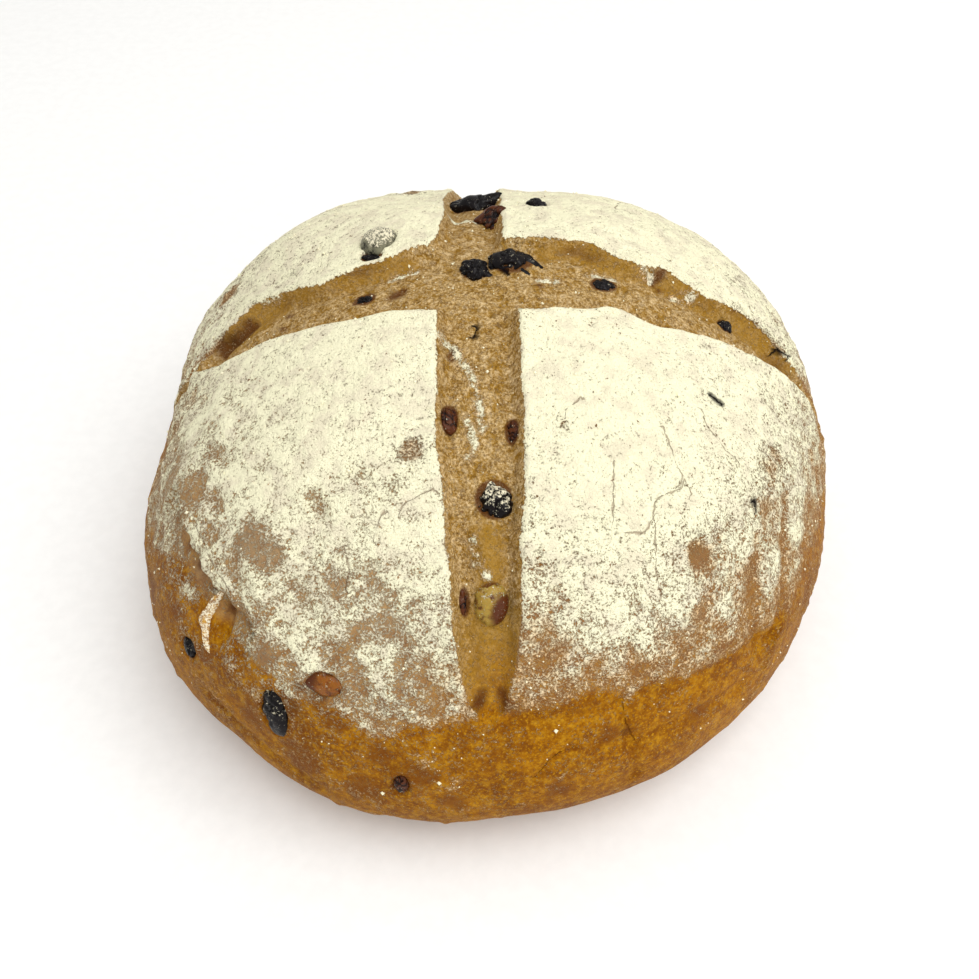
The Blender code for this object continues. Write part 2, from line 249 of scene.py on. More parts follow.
# Relief, in millimetres.
BLISTER_RISE, BLISTER_WIDTH = 1.3, 4.6
LIP_RISE, LIP_PLACE, LIP_WIDTH = 0.35, 1.6, 1.2  # raised edge along the score
CRUMB_RISE, CRUMB_RUN = 1.0, 7.0  # crumb domes up towards the middle of an arm
CRACK_DEPTH, CRACK_WIDTH = 0.05, 0.6
SLIT_DEPTH, SLIT_WIDTH = 0.4, 0.7
SEAT_RIM, SEAT_GROOVE, SEAT_RUN = 0.45, 0.55, 1.2  # round each fruit
CLUMP_RISE = 0.50
FOOT_HOLLOW = 0.35

# The score's low ends: polar angles in degrees, and lengths in millimetres.
WAIST_END = 86.0  # where the score ends
SHALLOW_FROM, SHALLOW_OVER, SHALLOW_SHARE = 56.0, 14.0, 0.75  # where it grows shallower
DEEP_END = ((7.0, 56.0), (6.0, 62.0))  # where the right-hand arm is pressed in further
DEEP_END_DEPTH, DEEP_END_REACH = 1.6, 9.0

# How far ragged edges stray, and the size of the noise they follow, in millimetres.
SPOT_RAGGED, SPOT_SIZE = 1.1, 4.0
PATCH_RAGGED, PATCH_SIZE = 1.2, 3.5

# The clotted half of the near left quarter: where it starts and ends, and how far each edge takes
# to ease, in degrees.
CLOTTED_ACROSS = ((-172.0, 16.0), (-92.0, 10.0))
CLOTTED_DOWN = ((26.0, 14.0), (78.0, 12.0))

# Flour's unevenness: degrees that its edge wanders, share and size in millimetres of wide and of
# fine patches, what clotted flour adds to the fine ones, and how bare a fold a millimetre deep is.
EDGE_DRIFT = 2.4
WIDE_SHARE, WIDE_SIZE = 0.08, 9.0
FINE_SHARE, FINE_SIZE, CLOTTED_SHARE = 0.10, 3.2, 0.10
FOLD_BARE = 0.32
CLUMP_SEED = 33  # the same noise raises the clumps and thickens the flour on them

# Flour left at each way down the crust, which is 0 where it starts to thin and 1 where it ends.
FLOUR_FALL = (-2.2, -0.9, 0.0, 0.45, 0.95, 1.1)
FLOUR_LEFT = (0.96, 0.85, 0.635, 0.485, 0.395, 0.0)


# ---------------------------------------------------------------- numbers
def smooth_step(value):
    """Ease from 0 to 1 as value goes from 0 to 1."""
    t = np.clip(value, 0.0, 1.0)
    return t * t * (3.0 - 2.0 * t)


def cell_value(x, y, z, seed):
    """Repeatable random value from -1 to 1 for each whole-number cell.

    The large numbers are the usual multipliers of an integer hash, kept to 32 bits.
    """
    mixed = (x * 73856093) ^ (y * 19349663) ^ (z * 83492791) ^ (seed * 2654435761)
    mixed = ((mixed ^ (mixed >> 13)) * 1274126177) & 0xFFFFFFFF
    mixed = ((mixed ^ (mixed >> 16)) * 2246822519) & 0xFFFFFFFF
    return (mixed ^ (mixed >> 15)) / 2.0**31 - 1.0


NOISE_TURN = np.array(Matrix.Rotation(0.7, 3, Vector((0.3, 0.8, 0.5))))


def noise(points, size, seed, octaves=1):
    """Smooth random field from about -1 to 1: cell values blended over cells of one size.

    Each further octave halves both the cell and its share.
    """
    total = np.zeros(len(points))
    for octave in range(octaves):
        scaled = points @ NOISE_TURN * (2.0**octave / size)
        cell = np.floor(scaled).astype(np.int64)
        part = scaled - cell
        part = part**3 * (part * (part * 6.0 - 15.0) + 10.0)
        for corner in np.ndindex(2, 2, 2):
            share = np.prod(np.where(corner, part, 1.0 - part), axis=1)
            value = cell_value(*(cell + corner).T, seed + octave)
            total += share * value * 0.5**octave
    return total


def relief(points, layers):
    """Sum of noise layers, in millimetres."""
    return sum(height * noise(points, size * MM, seed) for height, size, seed in layers)


def ragged(points, reach, size, seeds):
    """Points moved about at random by up to a reach in millimetres, so that edges come out ragged."""
    moves = [noise(points, size * MM, seed, 2) for seed in seeds]
    return points + reach * MM * np.stack(moves, axis=1)


def fade(value):
    """Ease from 1 to 0 as value goes from 0 to 1."""
    return 1.0 - smooth_step(value)


def bell(gap, width):
    """Rounded bump of height 1 at no gap that has faded out at about twice the width."""
    return np.exp(-((gap / width) ** 2))


def to_unit(vectors):
    """Vectors scaled to a length of one."""
    return vectors / np.linalg.norm(vectors, axis=1)[:, None]


def plan_degrees(azimuth):
    """Azimuth in degrees, from -180 to 180."""
    return np.degrees(np.arctan2(np.sin(azimuth), np.cos(azimuth)))


# ---------------------------------------------------------------- the crust as a surface
def outline(azimuth):
    """Plan radius as a share of RADIUS: a circle with three low waves."""
    share = np.ones_like(azimuth)
    for waves, size, crest in OUTLINE_WAVES:
        share = share + size * np.cos(waves * (azimuth - math.radians(crest)))
    return share


def outline_middle():
    """Middle of the outline's box, which the frame puts at the origin."""
    ring = np.linspace(0.0, 2.0 * math.pi, OUTLINE_SAMPLES)
    reach = RADIUS * outline(ring)
    x, y = reach * np.cos(ring), reach * np.sin(ring)
    return np.array([(x.min() + x.max()) / 2, (y.min() + y.max()) / 2, 0.0])


MIDDLE = outline_middle()


def score_gap(points):
    """Signed distance in plan from the nearest edge of the score, negative inside an arm.

    An arm is a strip along a slightly bowed line. Its half width changes evenly along it and
    closes at its end with the fourth power of the way along, and its edges wander a little.
    """
    x, y = points[:, 0] + MIDDLE[0], points[:, 1] + MIDDLE[1]
    gap = np.full(len(points), 1.0)
    for start, end, bend, half_start, half_end in SCORE_ARMS:
        start, end = np.array(start) * RADIUS, np.array(end) * RADIUS
        run = end - start
        length = math.hypot(*run)
        dx, dy = x - start[0], y - start[1]
        along = (dx * run[0] + dy * run[1]) / length
        share = np.clip(along / length, 0.0, 1.0)
        offset = (dy * run[0] - dx * run[1]) / length
        across = np.abs(offset - bend * RADIUS * np.sin(math.pi * share))
        half_width = (half_start + (half_end - half_start) * share) * RADIUS
        half_width = half_width * np.sqrt(1.0 - share**4)
        gap = np.minimum(gap, np.maximum(across - half_width, np.maximum(-along, along - length)))
    for pull_x, pull_y, radius, amount in np.array(SCORE_PULLS) * MM:
        gap = gap - amount * bell(np.hypot(x - pull_x, y - pull_y), radius)
    return gap + MM * relief(points, EDGE_WANDER)


def dome_and_belly(azimuth, polar):
    """Plain form: half an ellipse above the waist, a quarter ellipse down to the flat foot."""
    below = np.clip(polar - math.pi / 2, 0.0, math.pi / 2)
    above_waist = polar < math.pi / 2
    belly = FOOT_RADIUS + (RADIUS - FOOT_RADIUS) * np.cos(below)
    reach = np.where(above_waist, RADIUS * np.sin(polar), belly) * outline(azimuth)
    dome_z = WAIST_HEIGHT + (HEIGHT - WAIST_HEIGHT) * np.cos(polar)
    z = np.where(above_waist, dome_z, WAIST_HEIGHT * (1.0 - np.sin(below)))
    form = np.stack([reach * np.cos(azimuth), reach * np.sin(azimuth), z], axis=-1)
    return form - MIDDLE


def swollen(points, azimuth, polar, gap, shape):
    """Quarters pushed out and score pressed in, along the line from the loaf's core.

    The score is shallower low down, and pressed in further near the end of the right-hand arm.
    """
    shoulder = np.sin(np.clip(2.0 * polar, 0.0, math.pi))
    move = shape.quarter_rise * shoulder * np.sin(2.0 * azimuth) ** 2
    opening = fade(gap / shape.score_lip + 0.5)
    low_end = smooth_step((np.degrees(polar) - SHALLOW_FROM) / SHALLOW_OVER)
    opening = opening * (1.0 - SHALLOW_SHARE * low_end)
    above_waist = smooth_step((math.radians(92) - polar) / math.radians(8))
    deeper = DEEP_END_DEPTH * MM * bell(places_gap(points, DEEP_END), DEEP_END_REACH * MM)
    move = move - (shape.score_depth + deeper) * opening * above_waist
    arm = points + MIDDLE - CORE
    return points + arm * (move / np.linalg.norm(arm, axis=1))[:, None]


def crust_places(places):
    """Points of the plain form at (azimuth, polar angle) places in degrees."""
    angles = np.radians(np.array(places, float))
    return dome_and_belly(angles[:, 0], angles[:, 1])


def place_gap(points, azimuth, polar):
    """Distance from one place on the crust, given in degrees."""
    return np.linalg.norm(points - crust_places([(azimuth, polar)])[0], axis=1)


def places_gap(points, places):
    """Unsigned distance from a path over the crust."""
    return np.abs(path_gap(points, places))


def path_gap(points, places):
    """Distance from a path of straight pieces over the crust, positive on its left-hand side.

    Past either end of the path it is positive on both sides.
    """
    stops = crust_places(places)
    outward = points - CORE
    nearest = np.full(len(points), 1.0)
    last = len(stops) - 2
    for number, (start, end) in enumerate(zip(stops[:-1], stops[1:])):
        run = end - start
        share = (points - start) @ run / (run @ run)
        offset = points - start - np.clip(share, 0.0, 1.0)[:, None] * run
        gap = np.linalg.norm(offset, axis=1)
        side = np.where(np.einsum("ij,ij->i", np.cross(run, offset), outward) < 0, -1.0, 1.0)
        past_end = ((number == 0) & (share < 0.0)) | ((number == last) & (share > 1.0))
        signed = gap * np.where(past_end, 1.0, side)
        nearest = np.where(gap < np.abs(nearest), signed, nearest)
    return nearest


def nearest_path(points, paths):
    """Signed distance from the nearest of several paths, held to FAR."""
    nearest = np.full(len(points), FAR)
    for places in paths:
        gap = path_gap(points, places)
        nearest = np.where(np.abs(gap) < np.abs(nearest), gap, nearest)
    return nearest


def spots(points, centres):
    """Soft-edged round spots with ragged outlines, joined by their greatest value."""
    moved = ragged(points, SPOT_RAGGED, SPOT_SIZE, (21, 22, 23))
    field = np.zeros(len(points))
    for azimuth, polar, radius in centres:
        share = place_gap(moved, azimuth, polar) / (radius * MM)
        field = np.maximum(field, fade((share - 0.55) / 0.75))
    return field


def near_left(azimuth, polar):
    """1 over the near left quarter's clotted lower half, easing to 0 around it; in degrees."""
    share = 1.0
    for angle, ((start, rise), (end, drop)) in ((azimuth, CLOTTED_ACROSS), (polar, CLOTTED_DOWN)):
        share = share * smooth_step((angle - start) / rise) * smooth_step((end - angle) / drop)
    return share


def flour_density(points, azimuth, polar):
    """How thickly flour lies: full on the top, thinning to a haze on the belly, and patchy.

    Returns it with the patches and without them.
    """
    limits = np.array(FLOUR_LIMITS + ((180,) + FLOUR_LIMITS[0][1:],), float)
    across, down = plan_degrees(azimuth), np.degrees(polar)
    thin, end, haze = (np.interp(across, limits[:, 0], limits[:, k]) for k in (1, 2, 3))
    fall = (down + EDGE_DRIFT * noise(points, 11 * MM, 31, 2) - thin) / (end - thin)
    density = np.maximum(np.interp(fall, FLOUR_FALL, FLOUR_LEFT), haze * smooth_step(4.0 - fall))
    broad = density
    clumpy = FINE_SHARE + CLOTTED_SHARE * near_left(across, down)
    patchy = WIDE_SHARE * noise(points, WIDE_SIZE * MM, 32, 2)
    patchy = patchy + clumpy * noise(points, FINE_SIZE * MM, CLUMP_SEED, 2)
    density = density + patchy * smooth_step((down - 18.0) / 30.0)
    moved = ragged(points, PATCH_RAGGED, PATCH_SIZE, (34, 35, 36))
    for place_azimuth, place_polar, radius, change in PATCHES:
        density = density + change * bell(place_gap(moved, place_azimuth, place_polar), radius * MM)
    for places, depth, width in FOLDS:
        bare = min(1.0, FOLD_BARE * depth) * bell(places_gap(points, places), width * MM)
        density = density * (1.0 - bare)
    return np.clip(density, 0.0, 1.0), broad


class Fruit:
    """A CAD raisin's middle, axes and half sizes, read from the spread of its points.

    clean is how much narrower the stained rim round it is, and press how deep the crust sinks
    under it, both in millimetres.
    """

    def __init__(self, node):
        points = np.unique(mesh_points(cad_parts[node].data).round(7), axis=0)
        lo, hi = (np.array(corner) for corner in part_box(node))
        self.centre = (lo + hi) / 2
        scatter = np.cov((points - self.centre).T)
        self.axes = np.linalg.eigh(scatter)[1].T[::-1]
        self.axes[2] *= np.sign(self.axes[2] @ (self.centre - CORE))
        self.axes[1] = np.cross(self.axes[2], self.axes[0])
        self.half = np.abs((points - self.centre) @ self.axes.T).max(axis=0)
        self.clean, self.press = (0.7, 3.6) if node == SULTANA else (0.0, 1.3)

    def gap(self, points):
        """Distance from the fruit's surface, negative inside it."""
        share = np.linalg.norm((points - self.centre) @ self.axes.T / self.half, axis=1)
        return (share - 1.0) * self.half[:2].mean()


def folds_and_steps(points):
    """Height of the mounds over buried fruit, the folds and the steps, in millimetres."""
    height = np.zeros(len(points))
    for azimuth, polar, radius, rise in MOUNDS:
        height = height + rise * bell(place_gap(points, azimuth, polar), 0.75 * radius * MM)
    wobble = 0.7 * MM * noise(points, 5 * MM, 6)
    for places, depth, width in FOLDS:
        height = height - depth * bell(places_gap(points, places) + wobble, width * MM)
    for places, rise, run in STEPS:
        gap = path_gap(points, places) + wobble
        height = height + rise * (smooth_step(gap / (run * MM) + 0.5) - 0.5) * bell(gap, 8 * MM)
    return height


def fruit_seats(points, fruits):
    """Rim and groove round each fruit, and the crust pressed in under it, in millimetres."""
    height = np.zeros(len(points))
    for fruit in fruits:
        gap = fruit.gap(points)
        height = height + SEAT_RIM * bell(gap - 1.5 * MM, 1.0 * MM) - SEAT_GROOVE * bell(gap, 0.8 * MM)
        height = height - fruit.press * smooth_step(-gap / (SEAT_RUN * MM))
    return height


def crust_height(points, fields, fruits, shape):
    """Height of the crust's detail over its form.

    Lumps of four sizes, clumped flour, mounds over buried fruit, folds, steps, a raised lip along
    the score, grainy crumb inside it, a blister, cracks, and a rim round each raisin.
    """
    flour, score = fields["flour"], fields["score"]
    inside = smooth_step(-score / (1.5 * MM))
    soft = 0.45 + 0.55 * smooth_step(flour * 1.6)
    clumped = smooth_step(flour * 3.0) * smooth_step((0.95 - flour) * 3.0)
    rough = relief(points, ROUGHNESS) + 0.14 * flour * noise(points, 1.6 * MM, 5)
    rough = rough + CLUMP_RISE * clumped * noise(points, FINE_SIZE * MM, CLUMP_SEED, 2)
    height = relief(points, LUMPS) * (1.0 - 0.6 * inside) + rough * soft * (1.0 - 0.5 * inside)
    height = height + folds_and_steps(points)
    height = height + LIP_RISE * bell(score - LIP_PLACE * MM, LIP_WIDTH * MM)
    height = height + BLISTER_RISE * fade(places_gap(points, BLISTER) / (BLISTER_WIDTH * MM))
    crumb = relief(points, CRUMB_GRAIN) * (1.0 - 0.7 * fields["glaze"])
    height = height + inside * (crumb + CRUMB_RISE * smooth_step(-score / (CRUMB_RUN * MM)))
    height = height - CRACK_DEPTH * bell(fields["crack"], CRACK_WIDTH * MM)
    height = height - SLIT_DEPTH * bell(fields["slit"], SLIT_WIDTH * MM)
    return (height + fruit_seats(points, fruits)) * MM * shape.lump_scale


def glazed(points, stain_and_shadow):
    """How far the score is smooth and amber, and the stain with painted shadow seams along its far walls
    added.
    """
    glaze = np.zeros(len(points))
    wobble = 1.0 * MM * noise(points, 4 * MM, 24, 2)
    for places, half_width in GLAZES:
        gap = places_gap(points, places) + wobble
        glaze = np.maximum(glaze, fade(gap / (half_width * MM) - 0.4))
    broken = smooth_step(0.5 + noise(points, 9 * MM, 25))
    for places in FAR_WALLS:
        gap = places_gap(points, places)
        glaze = np.maximum(glaze, 0.9 * fade((gap + wobble) / (2.6 * MM) - 0.3))
        # painted shadow: a dark seam along each far wall, under the far quarter's lip
        stain_and_shadow = np.maximum(stain_and_shadow, 0.6 * fade(gap / (0.8 * MM) - 0.2) * broken)
    return glaze, stain_and_shadow


def surface_fields(points, form_points, azimuth, polar, fruits):
    """Fields that the crust's material reads: where the score, flour, cracks, stains and painted shadows lie.
    """
    below_waist = (np.degrees(polar) - WAIST_END) * MM
    fields = {"score": np.clip(np.maximum(score_gap(form_points), below_waist), -FAR, FAR)}
    for key, paths in (("crack", CRACKS), ("slit", SLITS), ("streak", STREAKS)):
        fields[f"{key}_side"] = nearest_path(form_points, paths)
        fields[key] = np.abs(fields[f"{key}_side"])
    for key, centres in (("scuff", SCUFFS), ("stain_and_shadow", STAINS_AND_SHADOWS), ("browned", BROWNED)):
        fields[key] = spots(form_points, centres)
    fields["glaze"], fields["stain_and_shadow"] = glazed(form_points, fields["stain_and_shadow"])
    seam = places_gap(form_points, LIGHT_SEAM) + 1.5 * MM
    fields["streak"] = np.minimum(fields["streak"], seam)
    flour, fields["dusting"] = flour_density(form_points, azimuth, polar)
    fields["flour"] = flour * (1.0 - 0.45 * fields["scuff"])
    fields["clot"] = near_left(plan_degrees(azimuth), np.degrees(polar))
    nearest_fruit = np.min([fruit.gap(points) + fruit.clean * MM for fruit in fruits], axis=0)
    fields["fruit"] = np.clip(nearest_fruit, -FAR, FAR)
    return fields


def wrapped_grid(lines):
    """Square grid wrapped over a disc: square rings become round ones, corners become diagonals.

    Grid lines gather where the arms' edges run. Returns the way out from the middle, from 0 to
    1, and the azimuth.
    """
    fine = np.linspace(-1.0, 1.0, PROFILE_SAMPLES)
    density = 1.0 + EDGE_CROWDING * bell(np.abs(fine) - ARM_EDGE, CROWDING_WIDTH)
    total = np.concatenate([[0.0], np.cumsum(density[1:] + density[:-1])])
    line = np.interp(np.linspace(0.0, total[-1], lines), total, fine)
    u, v = (axis.ravel() for axis in np.meshgrid(line, line))
    wide = np.abs(u) >= np.abs(v)
    with np.errstate(divide="ignore", invalid="ignore"):
        side = np.where(u < 0, math.pi, 0.0) + math.pi / 4 * np.nan_to_num(v / u)
        end = np.where(v < 0, math.pi, 0.0) + math.pi / 2 - math.pi / 4 * np.nan_to_num(u / v)
    return np.maximum(np.abs(u), np.abs(v)), np.where(wide, side, end)


def polar_along_profile(share):
    """Polar angle at a share of the way from the crown down the profile to the foot's edge."""
    polar = np.linspace(0.0, math.pi, PROFILE_SAMPLES)
    profile = dome_and_belly(np.zeros_like(polar), polar)
    steps = np.linalg.norm(np.diff(profile, axis=0), axis=1)
    walked = np.concatenate([[0.0], np.cumsum(steps)])
    return np.interp(share * walked[-1], walked, polar)


def grid_normals(points, lines):
    """Outward normals of a grid surface, from the cross product of its two directions."""
    sheet = points.reshape(lines, lines, 3)
    return to_unit(np.cross(np.gradient(sheet, axis=1), np.gradient(sheet, axis=0)).reshape(-1, 3))


def grid_faces(lines):
    """Quads of the grid, facing outwards."""
    index = np.arange(lines * lines).reshape(lines, lines)
    corners = (index[:-1, :-1], index[:-1, 1:], index[1:, 1:], index[1:, :-1])
    return np.stack(corners, axis=-1).reshape(-1, 4)


def grid_rim(lines):
    """Indices round the grid's edge, anticlockwise from above."""
    index = np.arange(lines * lines).reshape(lines, lines)
    return np.concatenate([index[0, :-1], index[:-1, -1], index[-1, :0:-1], index[:0:-1, 0]])


def foot_surface(rim_points, rim, first):
    """Foot under the loaf: rings shrinking to a middle point, slightly hollow between."""
    count = len(rim)
    middle = rim_points.mean(axis=0)
    rings = []
    for share in FOOT_RINGS:
        ring = middle + (rim_points - middle) * share
        ring[:, 2] = FOOT_HOLLOW * MM * (1.0 - share) * (1.0 + noise(ring, 12 * MM, 41))
        rings.append(ring)
    faces = []
    outer = rim
    for number in range(len(FOOT_RINGS)):
        inner = first + number * count + np.arange(count)
        corners = (outer, inner, np.roll(inner, -1), np.roll(outer, -1))
        faces.append(np.stack(corners, axis=-1))
        outer = inner
    tip = first + len(FOOT_RINGS) * count
    fan = np.stack([outer, np.full(count, tip), np.roll(outer, -1)], axis=-1)
    return np.concatenate(rings + [middle[None]]), faces, fan


def mesh_points(mesh):
    """The mesh's points, one in each row."""
    points = np.empty(3 * len(mesh.vertices))
    mesh.vertices.foreach_get("co", points)
    return points.reshape(-1, 3)


def mesh_field(mesh, key):
    """A field that the mesh stores at its points."""
    values = np.empty(len(mesh.vertices), np.float32)
    mesh.attributes[key].data.foreach_get("value", values)
    return values


def mesh_object(name, points, faces, fields=None):
    """Smooth mesh object at the origin, with its fields as point attributes."""
    mesh = bpy.data.meshes.new(name)
    mesh.from_pydata(points.tolist(), [], [face for group in faces for face in group.tolist()])
    mesh.update()
    mesh.shade_smooth()
    for key, values in (fields or {}).items():
        layer = mesh.attributes.new(key, "FLOAT", "POINT")
        layer.data.foreach_set("value", values.astype(np.float32))
    item = bpy.data.objects.new(name, mesh)
    bpy.context.scene.collection.objects.link(item)
    return item


def ball_grid(rings, segments):
    """Azimuth and polar angle of a ball's points, and its faces, with single points as poles."""
    polar = np.linspace(0.0, math.pi, rings + 1)[1:-1]
    azimuth = np.arange(segments) * 2.0 * math.pi / segments
    all_azimuth = np.concatenate([[0.0], np.tile(azimuth, rings - 1), [0.0]])
    all_polar = np.concatenate([[0.0], np.repeat(polar, segments), [math.pi]])
    index = 1 + np.arange((rings - 1) * segments).reshape(rings - 1, segments)
    after = np.roll(index, -1, axis=1)
    corners = (index[:-1], index[1:], after[1:], after[:-1])
    quads = np.stack(corners, axis=-1).reshape(-1, 4)
    top = np.stack([np.zeros(segments, int), index[0], after[0]], axis=-1)
    tip = np.full(segments, len(all_polar) - 1)
    bottom = np.stack([index[-1], tip, after[-1]], axis=-1)
    return all_azimuth, all_polar, [quads, top, bottom]


def ball_directions(azimuth, polar):
    """Unit vectors at angles."""
    flat = np.sin(polar)
    return np.stack([flat * np.cos(azimuth), flat * np.sin(azimuth), np.cos(polar)], axis=-1)


# ---------------------------------------------------------------- patterns of the materials
# Each is a noise texture's scale, detail and roughness.
CLOUD, MOTTLE, FLECK = (75.0, 5.0, 0.6), (420.0, 4.0, 0.65), (1500.0, 3.0, 0.7)
GRAIN, POCKET, LUMP = (1700.0, 4.0, 0.8), (330.0, 4.0, 0.7), (620.0, 4.0, 0.7)
BURN, RAGGED_EDGE, PINHOLE = (260.0, 4.0, 0.75), (900.0, 3.0, 0.6), (760.0, 3.0, 0.65)
FLOUR_TONE, FLOUR_GRAIN, FLOUR_CLUMP = (190.0, 4.0, 0.6), (2100.0, 3.0, 0.7), (800.0, 3.0, 0.65)
LINE_WANDER, LINE_THICKNESS = (600.0, 3.0, 0.6), (260.0, 2.0, 0.6)
FRUIT_FOLD, FLAKE_GRAIN = (620.0, 3.0, 0.65), (900.0, 3.0, 0.6)
CRUMB_TONE, FLOOR_TOOTH = (600.0, 2.0, 0.5), (220.0, 3.0, 0.6)
CRACK_LINE, SLIT_LINE = 0.00024, 0.0009  # widths in metres


# ---------------------------------------------------------------- node helpers
def feed(tree, socket, value):
    """Link a socket to the input, or set the input's own value."""
    if isinstance(value, bpy.types.NodeSocket):
        tree.links.new(value, socket)
    else:
        socket.default_value = value


def put(tree, kind, inputs=(), **settings):
    """Node with its settings, and its inputs given as values or as sockets to link from."""
    node = tree.nodes.new(kind)
    for key, value in settings.items():
        setattr(node, key, value)
    for key, value in dict(inputs).items():
        feed(tree, node.inputs[key], value)
    return node


def maths(tree, kind, *values):
    """Math node's result."""
    return put(tree, "ShaderNodeMath", dict(enumerate(values)), operation=kind).outputs[0]


def times(tree, first, second):
    """Product of two values."""
    return maths(tree, "MULTIPLY", first, second)


def inverse(tree, value):
    """What is left of 1."""
    return maths(tree, "SUBTRACT", 1.0, value)


def centred(tree, value):
    """Value from 0 to 1 moved to lie about 0."""
    return maths(tree, "SUBTRACT", value, 0.5)


def eased(tree, value, low, high):
    """0 below low, 1 above high, eased between."""
    inputs = {"Value": value, "From Min": low, "From Max": high}
    node = put(tree, "ShaderNodeMapRange", inputs, interpolation_type="SMOOTHSTEP", clamp=True)
    return node.outputs["Result"]


def spread(tree, value, low, high, to_low, to_high):
    """Straight change from one range to another, held at its ends."""
    inputs = {"Value": value, "From Min": low, "From Max": high, "To Min": to_low, "To Max": to_high}
    return put(tree, "ShaderNodeMapRange", inputs, clamp=True).outputs["Result"]


def blend(tree, share, first, second):
    """Colour between two, by share."""
    node = put(tree, "ShaderNodeMix", {0: share}, data_type="RGBA")
    for index, colour in ((6, first), (7, second)):
        linked = isinstance(colour, bpy.types.NodeSocket)
        feed(tree, node.inputs[index], colour if linked else (*colour[:3], 1.0))
    return node.outputs[2]


def masked(tree, base, mask, share, colour):
    """Base with a colour over it, as strong as the mask times a share."""
    return blend(tree, times(tree, mask, share), base, colour)


def layered(tree, base, layers):
    """Base with colours over it one by one.

    Each grows from nothing, where its pattern is at the first value, to its share at the second.
    """
    for pattern, first, second, share, colour in layers:
        base = blend(tree, spread(tree, pattern, first, second, 0.0, share), base, colour)
    return base


def speckle(tree, vector, pattern):
    """Noise texture's value."""
    scale, detail, roughness = pattern
    inputs = {"Vector": vector, "Scale": scale, "Detail": detail, "Roughness": roughness}
    return put(tree, "ShaderNodeTexNoise", inputs).outputs["Fac"]


def attribute(tree, name):
    """Value that the mesh stores at its points."""
    return put(tree, "ShaderNodeAttribute", attribute_name=name).outputs["Fac"]


def new_group(name, inputs, outputs):
    """Empty shader node group with float or vector sockets, its input and its output node."""
    tree = bpy.data.node_groups.new(name, "ShaderNodeTree")
    kinds = {"float": "NodeSocketFloat", "vector": "NodeSocketVector"}
    for label, kind in inputs:
        tree.interface.new_socket(label, in_out="INPUT", socket_type=kinds[kind])
    for label in outputs:
        tree.interface.new_socket(label, in_out="OUTPUT", socket_type="NodeSocketFloat")
    return tree, tree.nodes.new("NodeGroupInput").outputs, tree.nodes.new("NodeGroupOutput").inputs


def flour_group():
    """Flour cover from its density: speckled where thin, closed with pinholes where thick."""
    name = "Flour Cover"
    if name in bpy.data.node_groups:
        return bpy.data.node_groups[name]
    tree, given, result = new_group(
        name, (("Vector", "vector"), ("Density", "float"), ("Hold", "float")), ("Cover", "Height")
    )
    grain = speckle(tree, given["Vector"], FLOUR_GRAIN)
    clump = speckle(tree, given["Vector"], FLOUR_CLUMP)
    mixed = maths(tree, "MULTIPLY_ADD", grain, 0.62, times(tree, clump, 0.38))
    threshold = spread(tree, given["Density"], 0.0, 1.0, 0.635, 0.345)
    over = maths(tree, "SUBTRACT", mixed, threshold)
    cover = eased(tree, over, times(tree, given["Hold"], -1.0), given["Hold"])
    tree.links.new(cover, result["Cover"])
    tree.links.new(times(tree, cover, mixed), result["Height"])
    return tree


def hairline_group():
    """Broken thin line where a signed distance crosses zero, kept to where the plain one is small."""
    name = "Hairline"
    if name in bpy.data.node_groups:
        return bpy.data.node_groups[name]
    sockets = ("Distance", "float"), ("Signed", "float"), ("Width", "float")
    tree, given, result = new_group(name, (("Vector", "vector"), *sockets), ("Line",))
    wander = centred(tree, speckle(tree, given["Vector"], LINE_WANDER))
    gap = maths(tree, "ABSOLUTE", maths(tree, "MULTIPLY_ADD", wander, 0.0012, given["Signed"]))
    thick = speckle(tree, given["Vector"], LINE_THICKNESS)
    width = times(tree, given["Width"], spread(tree, thick, 0.40, 0.62, 0.05, 1.9))
    line = inverse(tree, eased(tree, gap, 0.0, width))
    near = eased(tree, given["Distance"], 0.0016, 0.0010)
    tree.links.new(times(tree, line, near), result["Line"])
    return tree


def use_group(tree, group, **inputs):
    """Group node's outputs."""
    return put(tree, "ShaderNodeGroup", inputs, node_tree=group).outputs


def new_material(name, constants):
    """Material, its tree, its Principled BSDF with some sockets set, and object coordinates."""
    material = bpy.data.materials.new(name)
    material.use_nodes = True
    tree = material.node_tree
    shader = tree.nodes["Principled BSDF"]
    for key, value in constants.items():
        shader.inputs[key].default_value = value
    place = put(tree, "ShaderNodeTexCoord").outputs["Object"]
    return material, tree, shader, place


def link(tree, value, socket):
    """Join a value to a socket."""
    tree.links.new(value, socket)


def bump(tree, shader, height, distance, strength):
    """Let a height tilt the shader's normal."""
    inputs = {"Height": height, "Distance": distance, "Strength": strength}
    link(tree, put(tree, "ShaderNodeBump", inputs).outputs["Normal"], shader.inputs["Normal"])


# ---------------------------------------------------------------- materials
def bare_crust(tree, place, finish):
    """Amber crust with browner clouds, and pale and dark mottling. Returns it and the mottling."""
    cloud = speckle(tree, place, CLOUD)
    mottle = speckle(tree, place, MOTTLE)
    fleck = speckle(tree, place, FLECK)
    crust = blend(tree, spread(tree, cloud, 0.34, 0.60, 0.15, 1.0), finish.crust_dark, finish.crust)
    layers = (
        (mottle, 0.50, 0.68, 0.60, finish.crust_pale),
        (mottle, 0.50, 0.34, 0.75, finish.crust_dark),
        (fleck, 0.54, 0.68, 0.85, finish.crust_pale),
        (fleck, 0.46, 0.32, 0.75, finish.crust_dark),
    )
    return layered(tree, crust, layers), mottle


